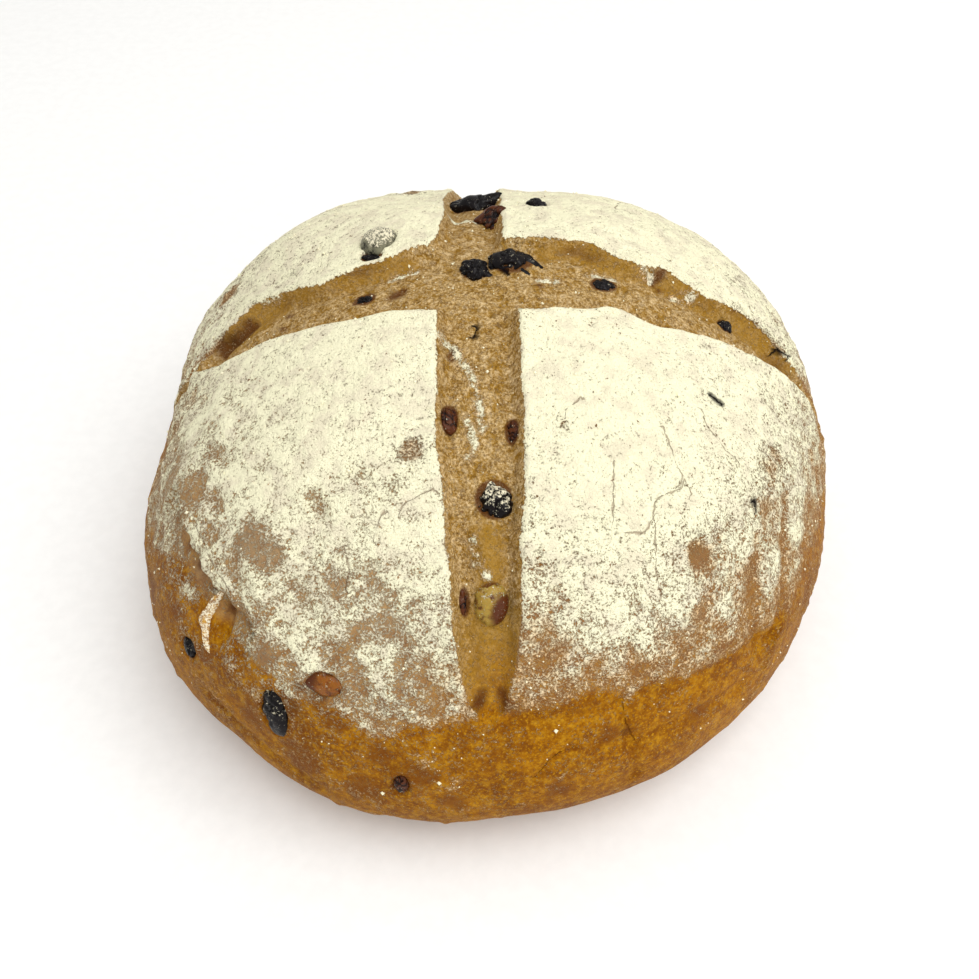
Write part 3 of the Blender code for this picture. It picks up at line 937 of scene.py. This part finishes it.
def dusted_crust(tree, bare, mottle, stain_and_shadow, finish):
    """Crust rubbed, veiled by fine flour, browned, stained and darkened with painted shadow. Returns it and
    the veil's share.
    """
    dusting, clot = attribute(tree, "dusting"), attribute(tree, "clot")
    film = spread(tree, dusting, 0.20, 0.55, 0.0, 0.72)
    veil = blend(tree, clot, finish.film, finish.film_grey)
    veil = layered(tree, veil, ((mottle, 0.56, 0.36, 0.50, finish.rubbed),))
    deep = times(tree, eased(tree, dusting, 0.62, 0.86), inverse(tree, clot))
    crust = masked(tree, bare, attribute(tree, "scuff"), 0.75, finish.rubbed)
    crust = blend(tree, film, crust, veil)
    crust = masked(tree, crust, deep, 0.75, finish.crumb_dark)
    crust = masked(tree, crust, attribute(tree, "browned"), 0.75, finish.browned)
    # stain colour laid on caramel spots, and on painted shadow under the step and along the score's far walls
    return masked(tree, crust, stain_and_shadow, 0.7, finish.stain_and_shadow), film


def score_crumb(tree, bare, stain_and_shadow, patterns, burnt, finish):
    """Golden crumb, finely grained, burnt in spots, glazed in patches, bare crust on the belly."""
    grain, pocket, lump = patterns
    crumb = blend(tree, eased(tree, pocket, 0.40, 0.56), finish.crumb_amber, finish.crumb)
    layers = (
        (lump, 0.48, 0.34, 0.65, finish.crumb_dark),
        (lump, 0.50, 0.66, 0.55, finish.crumb_pale),
        (grain, 0.50, 0.32, 0.80, finish.crumb_dark),
    )
    crumb = layered(tree, crumb, layers)
    torn = times(tree, spread(tree, grain, 0.50, 0.68, 0.0, 0.9), eased(tree, pocket, 0.34, 0.52))
    crumb = blend(tree, torn, crumb, finish.crumb_pale)
    crumb = masked(tree, crumb, burnt, 0.8, finish.rubbed)
    glaze = attribute(tree, "glaze")
    crumb = masked(tree, crumb, glaze, 0.80, finish.crumb_amber)
    belly = times(tree, glaze, eased(tree, attribute(tree, "dusting"), 0.52, 0.36))
    crumb = blend(tree, belly, crumb, bare)
    # stain colour laid on caramel spots, and on painted shadow along the score's far walls
    return masked(tree, crumb, stain_and_shadow, 0.85, finish.stain_and_shadow)


def lying_flour(tree, outside, fruit_gap, pocket):
    """Flour's density: uneven outside the score, sparse grains and smears inside, none on fruit."""
    density = attribute(tree, "flour")
    uneven = spread(tree, density, 0.30, 0.75, 0.25, 0.60)
    patched = maths(tree, "MULTIPLY_ADD", centred(tree, pocket), uneven, density)
    smear = eased(tree, attribute(tree, "streak"), 0.0024, 0.0002)
    smear = times(tree, smear, spread(tree, pocket, 0.35, 0.60, 0.30, 0.78))
    sparse = maths(tree, "MAXIMUM", 0.12, smear)
    patched = maths(tree, "MAXIMUM", patched, smear)
    lies = put(tree, "ShaderNodeMix", {0: outside, 2: sparse, 3: patched}).outputs[0]
    return times(tree, lies, eased(tree, fruit_gap, -0.0004, 0.0008))


def floured(tree, place, base, lies, cover, finish):
    """Base under flour: warmer and more see-through where little lies, with pinholes."""
    tone = speckle(tree, place, FLOUR_TONE)
    tint = blend(tree, eased(tree, tone, 0.36, 0.56), finish.flour_shade, finish.flour)
    few = blend(tree, attribute(tree, "clot"), finish.flour_thin, finish.flour_shade)
    tint = blend(tree, eased(tree, lies, 0.62, 0.32), tint, few)
    pinhole = eased(tree, speckle(tree, place, PINHOLE), 0.335, 0.285)
    closed = times(tree, cover, inverse(tree, pinhole))
    return blend(tree, times(tree, closed, spread(tree, lies, 0.16, 0.62, 0.70, 1.0)), base, tint)


def parted(tree, place, key, width):
    """Mask of the cracks or the slits, from the fields that the mesh stores."""
    return use_group(
        tree,
        hairline_group(),
        Vector=place,
        Distance=attribute(tree, key),
        Signed=attribute(tree, f"{key}_side"),
        Width=width,
    )["Line"]


def crust_material(finish):
    """Baked crust under flour, bare crumb in the score, cracks, stains, painted shadows and smears."""
    material, tree, shader, place = new_material("floured_crust", {"Specular IOR Level": 0.04})
    fruit_gap = attribute(tree, "fruit")
    # dark ring round each fruit, joined with the stored stains, which hold painted shadow too
    stain_and_shadow = maths(tree, "MAXIMUM", eased(tree, fruit_gap, 0.0008, 0.0), attribute(tree, "stain_and_shadow"))
    grain = speckle(tree, place, GRAIN)
    pocket = speckle(tree, place, POCKET)
    lump = speckle(tree, place, LUMP)
    burnt = eased(tree, speckle(tree, place, BURN), 0.66, 0.74)
    bare, mottle = bare_crust(tree, place, finish)
    crust, film = dusted_crust(tree, bare, mottle, stain_and_shadow, finish)
    crumb = score_crumb(tree, bare, stain_and_shadow, (grain, pocket, lump), burnt, finish)

    # the score's edge, ragged by grain
    uneven = centred(tree, speckle(tree, place, RAGGED_EDGE))
    edge = maths(tree, "MULTIPLY_ADD", uneven, 0.0013, attribute(tree, "score"))
    outside = eased(tree, edge, 0.0008, 0.0012)
    base = blend(tree, outside, crumb, crust)

    lies = lying_flour(tree, outside, fruit_gap, pocket)
    flour = use_group(tree, flour_group(), Vector=place, Density=lies, Hold=0.07)
    base = floured(tree, place, base, lies, flour["Cover"], finish)
    crack = parted(tree, place, "crack", CRACK_LINE)
    slit = parted(tree, place, "slit", SLIT_LINE)
    base = masked(tree, base, crack, 0.6, finish.crust_dark)
    link(tree, blend(tree, slit, base, finish.raisin), shader.inputs["Base Color"])
    link(tree, spread(tree, flour["Cover"], 0.0, 1.0, 0.50, 0.95), shader.inputs["Roughness"])

    height = maths(tree, "MULTIPLY_ADD", grain, 0.35, flour["Height"])
    details = (
        (times(tree, lump, inverse(tree, outside)), 0.5),
        (times(tree, centred(tree, pocket), film), 3.2),
        (crack, -0.5),
        (slit, -1.6),
    )
    for detail, share in details:
        height = maths(tree, "MULTIPLY_ADD", detail, share, height)
    bump(tree, shader, height, 0.0008, 0.9)
    return material


def raisin_material(name, colour, deep, dust, finish, transmit):
    """Dried-fruit skin: glossy folds darkened with painted shade, duller ridges and a little flour on what
    faces up.
    """
    constants = {"Coat Roughness": 0.12, "Specular IOR Level": 0.08}
    constants.update({"Subsurface Weight": transmit, "Subsurface Scale": 0.002})
    material, tree, shader, place = new_material(name, constants)
    fold = speckle(tree, place, FRUIT_FOLD)
    skin = blend(tree, eased(tree, fold, 0.30, 0.55), deep, colour)
    # the fold attribute darkens the creases to the deep colour as painted shade; on the sultana and raisin 16
    # it marks their dark rim instead
    skin = blend(tree, attribute(tree, "fold"), skin, deep)
    normal = put(tree, "ShaderNodeNewGeometry").outputs["Normal"]
    facing = put(tree, "ShaderNodeSeparateXYZ", {0: normal}).outputs["Z"]
    lies = times(tree, eased(tree, facing, 0.35, 0.95), dust)
    flour = use_group(tree, flour_group(), Vector=place, Density=lies, Hold=0.05)
    link(tree, blend(tree, flour["Cover"], skin, finish.flour_shade), shader.inputs["Base Color"])
    roughness = maths(tree, "MAXIMUM", spread(tree, fold, 0.3, 0.7, 0.24, 0.5), flour["Cover"])
    link(tree, roughness, shader.inputs["Roughness"])
    link(tree, times(tree, inverse(tree, flour["Cover"]), 0.14), shader.inputs["Coat Weight"])
    bump(tree, shader, maths(tree, "ADD", fold, flour["Height"]), 0.0006, 0.7)
    return material


def flake_material(finish):
    """Lifted skin: pinkish tan, floured on the outside of the curl."""
    material, tree, shader, place = new_material("lifted_skin", {"Roughness": 0.7})
    grain = speckle(tree, place, FLAKE_GRAIN)
    skin = blend(tree, eased(tree, grain, 0.35, 0.65), finish.crust_pale, finish.rubbed)
    flour = use_group(tree, flour_group(), Vector=place, Density=0.45, Hold=0.06)
    link(tree, blend(tree, flour["Cover"], skin, finish.flour_shade), shader.inputs["Base Color"])
    bump(tree, shader, grain, 0.0003, 0.6)
    return material


def grain_material(finish):
    """Loose flour: cream, matt, each crumb a little different."""
    material, tree, shader, place = new_material("loose_flour", {"Roughness": 0.95})
    tone = eased(tree, speckle(tree, place, CRUMB_TONE), 0.35, 0.65)
    link(tree, blend(tree, tone, finish.flour_shade, finish.flour), shader.inputs["Base Color"])
    return material


def floor_material(finish):
    """Pale paper sweep with the faintest tooth."""
    material, tree, shader, place = new_material("pale_sweep", {"Roughness": 0.85})
    tooth = speckle(tree, place, FLOOR_TOOTH)
    dimmer = tuple(0.97 * part for part in finish.floor)
    link(tree, blend(tree, eased(tree, tooth, 0.3, 0.7), dimmer, finish.floor), shader.inputs["Base Color"])
    return material


# ---------------------------------------------------------------- settings
def colour_setting(name, description, default):
    """Colour property."""
    return bpy.props.FloatVectorProperty(
        name=name, description=description, subtype="COLOR", size=3, min=0.0, max=1.0, default=default
    )


def length_setting(name, description, default):
    """Length property in metres."""
    return bpy.props.FloatProperty(
        name=name, description=description, default=default, min=0.0, unit="LENGTH", precision=5
    )


class LoafShape(bpy.types.PropertyGroup):
    """Sizes of the loaf's relief"""

    score_depth: length_setting("Score depth", "How far the score's floor lies under the crust", 0.0042)
    score_lip: length_setting("Score shoulder", "Width of the rounded shoulder beside the score", 0.0034)
    quarter_rise: length_setting("Quarter rise", "How far each quarter swells between the arms", 0.0022)
    lump_scale: bpy.props.FloatProperty(
        name="Lumps", description="Share of the full height of lumps, folds and rims", default=1.0, min=0.0
    )
    grain_count: bpy.props.IntProperty(
        name="Flour crumbs", description="Number of loose flour crumbs on the crust", default=2500, min=0
    )
    grain_size: length_setting("Crumb size", "Mean radius of a loose flour crumb", 0.00020)


class LoafFinish(bpy.types.PropertyGroup):
    """Colours of the crust, the crumb, the fruit and the floor"""

    crust: colour_setting("Crust", "Bare baked crust", (0.335, 0.125, 0.0005))
    crust_dark: colour_setting("Dark crust", "Browner clouds in the crust", (0.16, 0.045, 0.002))
    crust_pale: colour_setting("Pale crust", "Paler mottling in the crust", (0.53, 0.26, 0.010))
    film: colour_setting("Dusted crust", "Crust seen through a film of flour", (0.31, 0.165, 0.065))
    film_grey: colour_setting("Clotted crust", "Crust seen through clotted flour", (0.42, 0.285, 0.150))
    rubbed: colour_setting("Rubbed crust", "Crust where flour has rubbed away", (0.23, 0.115, 0.050))
    browned: colour_setting("Browned crust", "Crust that caught more heat", (0.17, 0.050, 0.004))
    # the stain colour also paints shadow under the step on the near left flank and along the score's far
    # walls
    stain_and_shadow: colour_setting("Stain", "Caramel beside fruit and in cracks", (0.085, 0.022, 0.006))
    crumb: colour_setting("Crumb", "Open crumb on the score's floor", (0.42, 0.255, 0.075))
    crumb_dark: colour_setting("Dark crumb", "Hollows in the crumb", (0.13, 0.062, 0.014))
    crumb_pale: colour_setting("Pale crumb", "Torn edges of the crumb", (0.86, 0.66, 0.38))
    crumb_amber: colour_setting("Amber crumb", "Glazed patches of the crumb", (0.35, 0.185, 0.022))
    flour: colour_setting("Flour", "Thick flour", (0.97, 0.93, 0.66))
    flour_shade: colour_setting("Flour shade", "Thinner or damper flour", (0.86, 0.79, 0.58))
    flour_thin: colour_setting("Thin flour", "Flour where only a grain or two lies", (0.90, 0.60, 0.31))
    raisin: colour_setting("Raisin", "Raisin skin", (0.004, 0.0022, 0.003))
    raisin_grey: colour_setting("Floured raisin", "Raisin rubbed with flour", (0.21, 0.20, 0.13))
    raisin_red: colour_setting("Red raisin", "Raisin skin under a film of dough", (0.085, 0.022, 0.005))
    raisin_amber: colour_setting("Amber raisin", "Raisin seen through glazed crust", (0.24, 0.080, 0.009))
    sultana: colour_setting("Sultana", "Golden sultana", (0.36, 0.235, 0.045))
    floor: colour_setting("Floor", "Studio floor", (0.93, 0.93, 0.92))


class LoafStage(bpy.types.PropertyGroup):
    """Camera and light"""

    elevation: bpy.props.FloatProperty(
        name="Camera height", description="Angle above the floor", subtype="ANGLE", default=math.radians(47.9)
    )
    distance: length_setting("Camera distance", "From the point it looks at", 0.3206)
    look_at: bpy.props.FloatVectorProperty(
        name="Look at", description="Point the camera faces", subtype="XYZ", default=(-0.0006, 0.0155, 0.0117)
    )
    lens: bpy.props.FloatProperty(name="Lens", description="Focal length in millimetres", default=38.8)
    key_power: bpy.props.FloatProperty(name="Key light", description="Power in watts", default=6.8)
    fill: bpy.props.FloatProperty(name="Fill light", description="Strength of the room's light", default=0.80)


# ---------------------------------------------------------------- operators
class LOAF_OT_crust(bpy.types.Operator):
    """Build the baked loaf: crust, score and foot as one closed skin"""

    bl_idname = "loaf.crust"
    bl_label = "Loaf"

    def execute(self, context):
        shape, finish = context.scene.loaf_shape, context.scene.loaf_finish
        fruits = [Fruit(node) for node in RAISIN_NODES]
        share, azimuth = wrapped_grid(GRID_LINES)
        polar = polar_along_profile(share)
        form = dome_and_belly(azimuth, polar)
        points = swollen(form, azimuth, polar, score_gap(form), shape)
        fields = surface_fields(points, form, azimuth, polar, fruits)
        height = crust_height(form, fields, fruits, shape) * smooth_step(form[:, 2] / (6 * MM))
        points = points + grid_normals(points, GRID_LINES) * height[:, None]
        points[:, 2] = np.maximum(points[:, 2], 0.0)

        rim = grid_rim(GRID_LINES)
        points[rim, 2] = 0.0
        foot, foot_quads, foot_fan = foot_surface(points[rim], rim, len(points))
        for key, values in fields.items():
            under = 0.2 + 0.12 * noise(foot, 15 * MM, 42, 2) if key == "flour" else FAR
            fields[key] = np.concatenate([values, np.zeros(len(foot)) + under])
        points = np.concatenate([points, foot])
        loaf = mesh_object("loaf_crust", points, [grid_faces(GRID_LINES), *foot_quads, foot_fan], fields)
        loaf.data.materials.append(crust_material(finish))
        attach(loaf, "root")
        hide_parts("loaf")
        return {"FINISHED"}


class LOAF_OT_raisins(bpy.types.Operator):
    """Build the raisins and the sultana, each in its seat in the crust"""

    bl_idname = "loaf.raisins"
    bl_label = "Raisins"

    RINGS, SEGMENTS = 44, 68
    # fruit by finish, density of the flour on it, and which has a smooth skin
    RED = ("raisin_02", "raisin_09", "raisin_10", "raisin_13", "raisin_17")
    DUSTY = {"raisin_11": 0.45, "raisin_19": 0.56, "raisin_15": 0.30, "raisin_14": 0.12}
    AMBER = ("raisin_16",)
    GREY = ("raisin_19",)
    SMOOTH = (SULTANA, "raisin_16", "raisin_19")
    # depth of folds, height of swellings, and strength of the painted shade in the folds
    WRINKLY, PLUMP = (0.22, 0.17, 1.0), (0.10, 0.08, 0.25)
    FOLD_WIDTH = 0.17
    LOBES = {  # plan heading and rise in degrees, share of extra reach, sharpness
        "raisin_01": ((8, 28, 0.70, 22), (178, -10, 0.30, 12), (95, 20, -0.20, 4)),
        "raisin_02": ((70, 10, 0.30, 10), (-100, 0, 0.25, 10), (180, 0, 0.30, 12)),
        "raisin_03": ((-48, -5, 0.70, 34), (-14, 0, 0.60, 40), (155, 0, 0.25, 12), (100, 0, -0.2, 6)),
        "raisin_04": ((-24, -12, 0.95, 50),),
        "raisin_08": ((165, 0, 0.7, 14), (-18, 0, 0.6, 14)),
        "raisin_09": ((130, 0, 0.2, 10), (-60, 0, 0.3, 14)),
        "raisin_10": ((150, 0, 0.4, 30), (70, 0, 0.3, 20)),
        "raisin_11": ((60, 20, 0.35, 26), (125, 20, 0.2, 20), (-45, 0, 0.2, 20), (-130, 0, 0.15, 16)),
        "raisin_15": ((75, 50, 0.4, 14), (-80, -50, 0.3, 10)),
        "raisin_16": ((10, 0, 0.4, 10), (-170, 0, 0.3, 10)),
    }
    SUNK = {  # millimetres below where the frame puts it
        "raisin_08": 1.0,
        "raisin_12": -1.2,
        "raisin_14": 0.9,
        "raisin_15": 1.2,
        "raisin_16": 1.4,
        "raisin_17": 0.4,
    }
    LARGER = {  # share of the frame's size
        "raisin_02": 1.25,
        "raisin_08": 0.7,
        "raisin_14": 1.2,
        "raisin_15": 1.15,
        "raisin_16": 1.2,
        "raisin_19": 1.2,
    }
    DARK_SIDE = {SULTANA: -35.0, "raisin_16": 165.0}  # plan heading of a dark rim, in degrees

    def wrinkled(self, fruit, node, number):
        """Ball drawn out to the fruit's half sizes, with lobes, swellings and pressed-in folds.

        The folds lie where a noise field is near zero. Returns the points, each one's painted shade in its
        fold or how near the dark rim it is, and the faces.
        """
        azimuth, polar, faces = ball_grid(self.RINGS, self.SEGMENTS)
        unit = ball_directions(azimuth, polar)
        stretched = unit * fruit.half / fruit.half.mean() + 7.0 * number
        swell = noise(stretched, 0.8, 50 + number, 2)
        line = noise(stretched, 0.6, 80 + number) + 0.4 * noise(stretched, 0.28, 110 + number)
        depth, swelling, shade = self.PLUMP if node in self.SMOOTH else self.WRINKLY
        fold = bell(line, self.FOLD_WIDTH) * shade
        reach = 1.02 + swelling * swell - depth * fold
        heading = to_unit((unit * fruit.half) @ fruit.axes)
        for plan, rise, extra, sharpness in self.LOBES.get(node, ()):
            up = math.radians(90.0 - rise)
            way = ball_directions(np.radians([plan]), np.array([up]))[0]
            reach = reach + extra * np.exp(sharpness * (heading @ way - 1.0))
        reach = reach * self.LARGER.get(node, 1.0)
        if node in self.DARK_SIDE:
            way = math.radians(self.DARK_SIDE[node])
            fold = smooth_step((heading @ (math.cos(way), math.sin(way), 0.0) - 0.35) / 0.4)
        middle = fruit.centre - fruit.axes[2] * self.SUNK.get(node, 0.0) * MM
        return middle + (unit * reach[:, None] * fruit.half) @ fruit.axes, fold, faces

    def execute(self, context):
        finish = context.scene.loaf_finish
        black = tuple(finish.raisin)
        for number, node in enumerate(RAISIN_NODES, start=1):
            sultana = node == SULTANA
            points, fold, faces = self.wrinkled(Fruit(node), node, number)
            fruit = mesh_object(f"{node}_skin", points, faces, {"fold": fold})
            dust = self.DUSTY.get(node, 0.0)
            skin, deep, transmit = black, tuple(0.4 * part for part in black), 0.0
            if sultana:
                skin, deep, dust, transmit = finish.sultana, finish.raisin_red, 0.16, 0.2
            elif node in self.AMBER:
                skin, deep, transmit = finish.raisin_amber, finish.raisin_red, 0.2
            elif node in self.GREY:
                skin, deep = finish.raisin_grey, black
            elif node in self.RED:
                skin, deep = finish.raisin_red, black
            look = raisin_material(f"{node}_finish", skin, deep, dust, finish, transmit)
            fruit.data.materials.append(look)
            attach(fruit, "root")
            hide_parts(node)
        return {"FINISHED"}


class LOAF_OT_flake(bpy.types.Operator):
    """Build the sliver of skin that has lifted off the near left flank"""

    bl_idname = "loaf.flake"
    bl_label = "Lifted skin"

    RINGS, SEGMENTS = 40, 24
    BREADTH, THICKNESS, LIFT = 1.8, 0.16, 0.9  # half breadth, half thickness and lift, in millimetres

    def execute(self, context):
        finish = context.scene.loaf_finish
        stops = crust_places(FLAKE_PATH)
        along = np.linspace(0.0, 1.0, self.RINGS)
        marks = np.linspace(0, 1, len(stops))
        spine = np.stack([np.interp(along, marks, stops[:, k]) for k in range(3)], axis=1)
        outward = to_unit(spine - CORE)
        forward = to_unit(np.gradient(spine, axis=0))
        across = np.cross(forward, outward)
        turn = np.arange(self.SEGMENTS) * 2.0 * math.pi / self.SEGMENTS
        lean = math.radians(38) + 0.5 * np.sin(along * 3.0)
        broad = (self.BREADTH * np.sin(math.pi * np.clip(along, 0.02, 0.98)) ** 0.7 + 0.05) * MM
        broad = broad * (1.0 + 0.25 * noise(spine, 3 * MM, 61))
        blade = across * np.cos(lean)[:, None] + outward * np.sin(lean)[:, None]
        thin = np.cross(forward, blade)
        ring = np.cos(turn)[None, :, None] * (blade * broad[:, None])[:, None]
        ring = ring + np.sin(turn)[None, :, None] * (thin * self.THICKNESS * MM)[:, None]
        curl = (np.cos(turn)[None, :] ** 2 * broad[:, None] * 0.5)[..., None] * thin[:, None]
        lift = spine + outward * (self.LIFT * MM)
        points = (lift[:, None] + ring + curl).reshape(-1, 3)
        index = np.arange(self.RINGS * self.SEGMENTS).reshape(self.RINGS, self.SEGMENTS)
        after = np.roll(index, -1, axis=1)
        quads = np.stack([index[:-1], after[:-1], after[1:], index[1:]], axis=-1).reshape(-1, 4)
        ends = np.stack([index[0][::-1], index[-1]])
        flake = mesh_object("lifted_skin", points, [quads, ends])
        flake.data.materials.append(flake_material(finish))
        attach(flake, "root")
        return {"FINISHED"}


class LOAF_OT_flour(bpy.types.Operator):
    """Scatter loose flour crumbs over the crust"""

    bl_idname = "loaf.flour"
    bl_label = "Loose flour"

    SHARE_IN_SCORE = 0.35  # of the crumbs that would lie on flour
    LOWEST = 30 * MM  # height below which loose crumbs have fallen off
    SEED = 7
    SQUASH, JITTER = (0.6, 1.3), 0.15  # how uneven a crumb's corners are, as shares of its size
    CORNERS = np.array([(1, 0, 0), (-1, 0, 0), (0, 1, 0), (0, -1, 0), (0, 0, 1), (0, 0, -1)], float)
    SIDES = np.array([(0, 2, 4), (2, 1, 4), (1, 3, 4), (3, 0, 4), (2, 0, 5), (1, 2, 5), (3, 1, 5), (0, 3, 5)])

    def execute(self, context):
        shape, finish = context.scene.loaf_shape, context.scene.loaf_finish
        skin = bpy.data.objects["loaf_crust"].data
        points = mesh_points(skin)
        on_crust = np.where(mesh_field(skin, "score") < 0.0, self.SHARE_IN_SCORE, 1.0)
        chance = np.clip(mesh_field(skin, "flour"), 0.0, 0.6) * (points[:, 2] > self.LOWEST) * on_crust
        random = np.random.default_rng(self.SEED)
        chosen = random.choice(len(points), shape.grain_count, replace=False, p=chance / chance.sum())
        size = shape.grain_size * random.gamma(4.0, 0.25, shape.grain_count)
        squash = random.uniform(*self.SQUASH, (shape.grain_count, 6, 1))
        corners = self.CORNERS[None] * squash * size[:, None, None]
        corners = corners + random.normal(0.0, self.JITTER, corners.shape) * size[:, None, None]
        crumbs = (points[chosen][:, None] + corners).reshape(-1, 3)
        faces = (np.arange(shape.grain_count)[:, None, None] * 6 + self.SIDES[None]).reshape(-1, 3)
        flour = mesh_object("loose_flour", crumbs, [faces])
        flour.data.materials.append(grain_material(finish))
        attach(flour, "root")
        return {"FINISHED"}


class LOAF_OT_stage(bpy.types.Operator):
    """Set the pale floor, the soft light and the camera"""

    bl_idname = "loaf.stage"
    bl_label = "Stage"

    FLOOR_REACH = 3.0  # metres each way
    LAMPS = (  # name, place and side in metres, share of the key light's power
        ("key", (0.35, -0.30, 1.00), 0.8, 1.0),
        ("side", (0.75, -0.75, 0.30), 0.7, 0.25),
    )
    AIM = (0.0, 0.0, 0.05)  # middle of the loaf
    ROOM_COLOUR = (1.0, 0.99, 0.97, 1.0)
    SENSOR = 36.0  # width of the camera's sensor in millimetres

    def execute(self, context):
        scene, stage = context.scene, context.scene.loaf_stage
        corners = self.FLOOR_REACH * np.array([(-1, -1, 0), (1, -1, 0), (1, 1, 0), (-1, 1, 0)], float)
        floor = mesh_object("floor", corners, [np.array([[0, 1, 2, 3]])])
        floor.data.materials.append(floor_material(scene.loaf_finish))

        for name, place, size, share in self.LAMPS:
            self.area_light(name, place, size, share * stage.key_power)
        world = bpy.data.worlds.new("room")
        world.use_nodes = True
        background = world.node_tree.nodes["Background"]
        background.inputs["Color"].default_value = self.ROOM_COLOUR
        background.inputs["Strength"].default_value = stage.fill
        scene.world = world

        camera = bpy.data.cameras.new("camera")
        camera.lens = stage.lens
        camera.sensor_width = self.SENSOR
        camera.clip_start = 0.01
        view = bpy.data.objects.new("camera", camera)
        scene.collection.objects.link(view)
        back = Vector((0.0, -math.cos(stage.elevation), math.sin(stage.elevation)))
        view.location = Vector(stage.look_at) + back * stage.distance
        view.rotation_euler = back.to_track_quat("Z", "Y").to_euler()
        scene.camera = view
        scene.view_settings.view_transform = "Standard"
        return {"FINISHED"}

    def area_light(self, name, place, size, power):
        """Square soft light that faces the loaf."""
        lamp = bpy.data.lights.new(name, "AREA")
        lamp.energy = power
        lamp.size = size
        item = bpy.data.objects.new(name, lamp)
        bpy.context.scene.collection.objects.link(item)
        item.location = place
        aim = Vector(place) - Vector(self.AIM)
        item.rotation_euler = aim.to_track_quat("Z", "Y").to_euler()


class LOAF_PT_panel(bpy.types.Panel):
    """Buttons and settings of the loaf"""

    bl_label = "Loaf"
    bl_space_type = "VIEW_3D"
    bl_region_type = "UI"
    bl_category = "Loaf"

    def draw(self, context):
        for operator in OPERATORS:
            self.layout.operator(operator.bl_idname)
        for group in (context.scene.loaf_shape, context.scene.loaf_finish, context.scene.loaf_stage):
            for key in group.__annotations__:
                self.layout.prop(group, key)


SETTINGS = {"loaf_shape": LoafShape, "loaf_finish": LoafFinish, "loaf_stage": LoafStage}
OPERATORS = (LOAF_OT_crust, LOAF_OT_raisins, LOAF_OT_flake, LOAF_OT_flour, LOAF_OT_stage)


def register():
    """Add the settings, operators and panel."""
    for name, group in SETTINGS.items():
        bpy.utils.register_class(group)
        setattr(bpy.types.Scene, name, bpy.props.PointerProperty(type=group))
    for item in (*OPERATORS, LOAF_PT_panel):
        bpy.utils.register_class(item)


def unregister():
    """Remove them again."""
    for item in (LOAF_PT_panel, *reversed(OPERATORS)):
        bpy.utils.unregister_class(item)
    for name, group in SETTINGS.items():
        delattr(bpy.types.Scene, name)
        bpy.utils.unregister_class(group)


def main():
    """Build every piece."""
    register()
    bpy.ops.loaf.crust()
    bpy.ops.loaf.raisins()
    bpy.ops.loaf.flake()
    bpy.ops.loaf.flour()
    bpy.ops.loaf.stage()


if __name__ == "__main__":
    main()
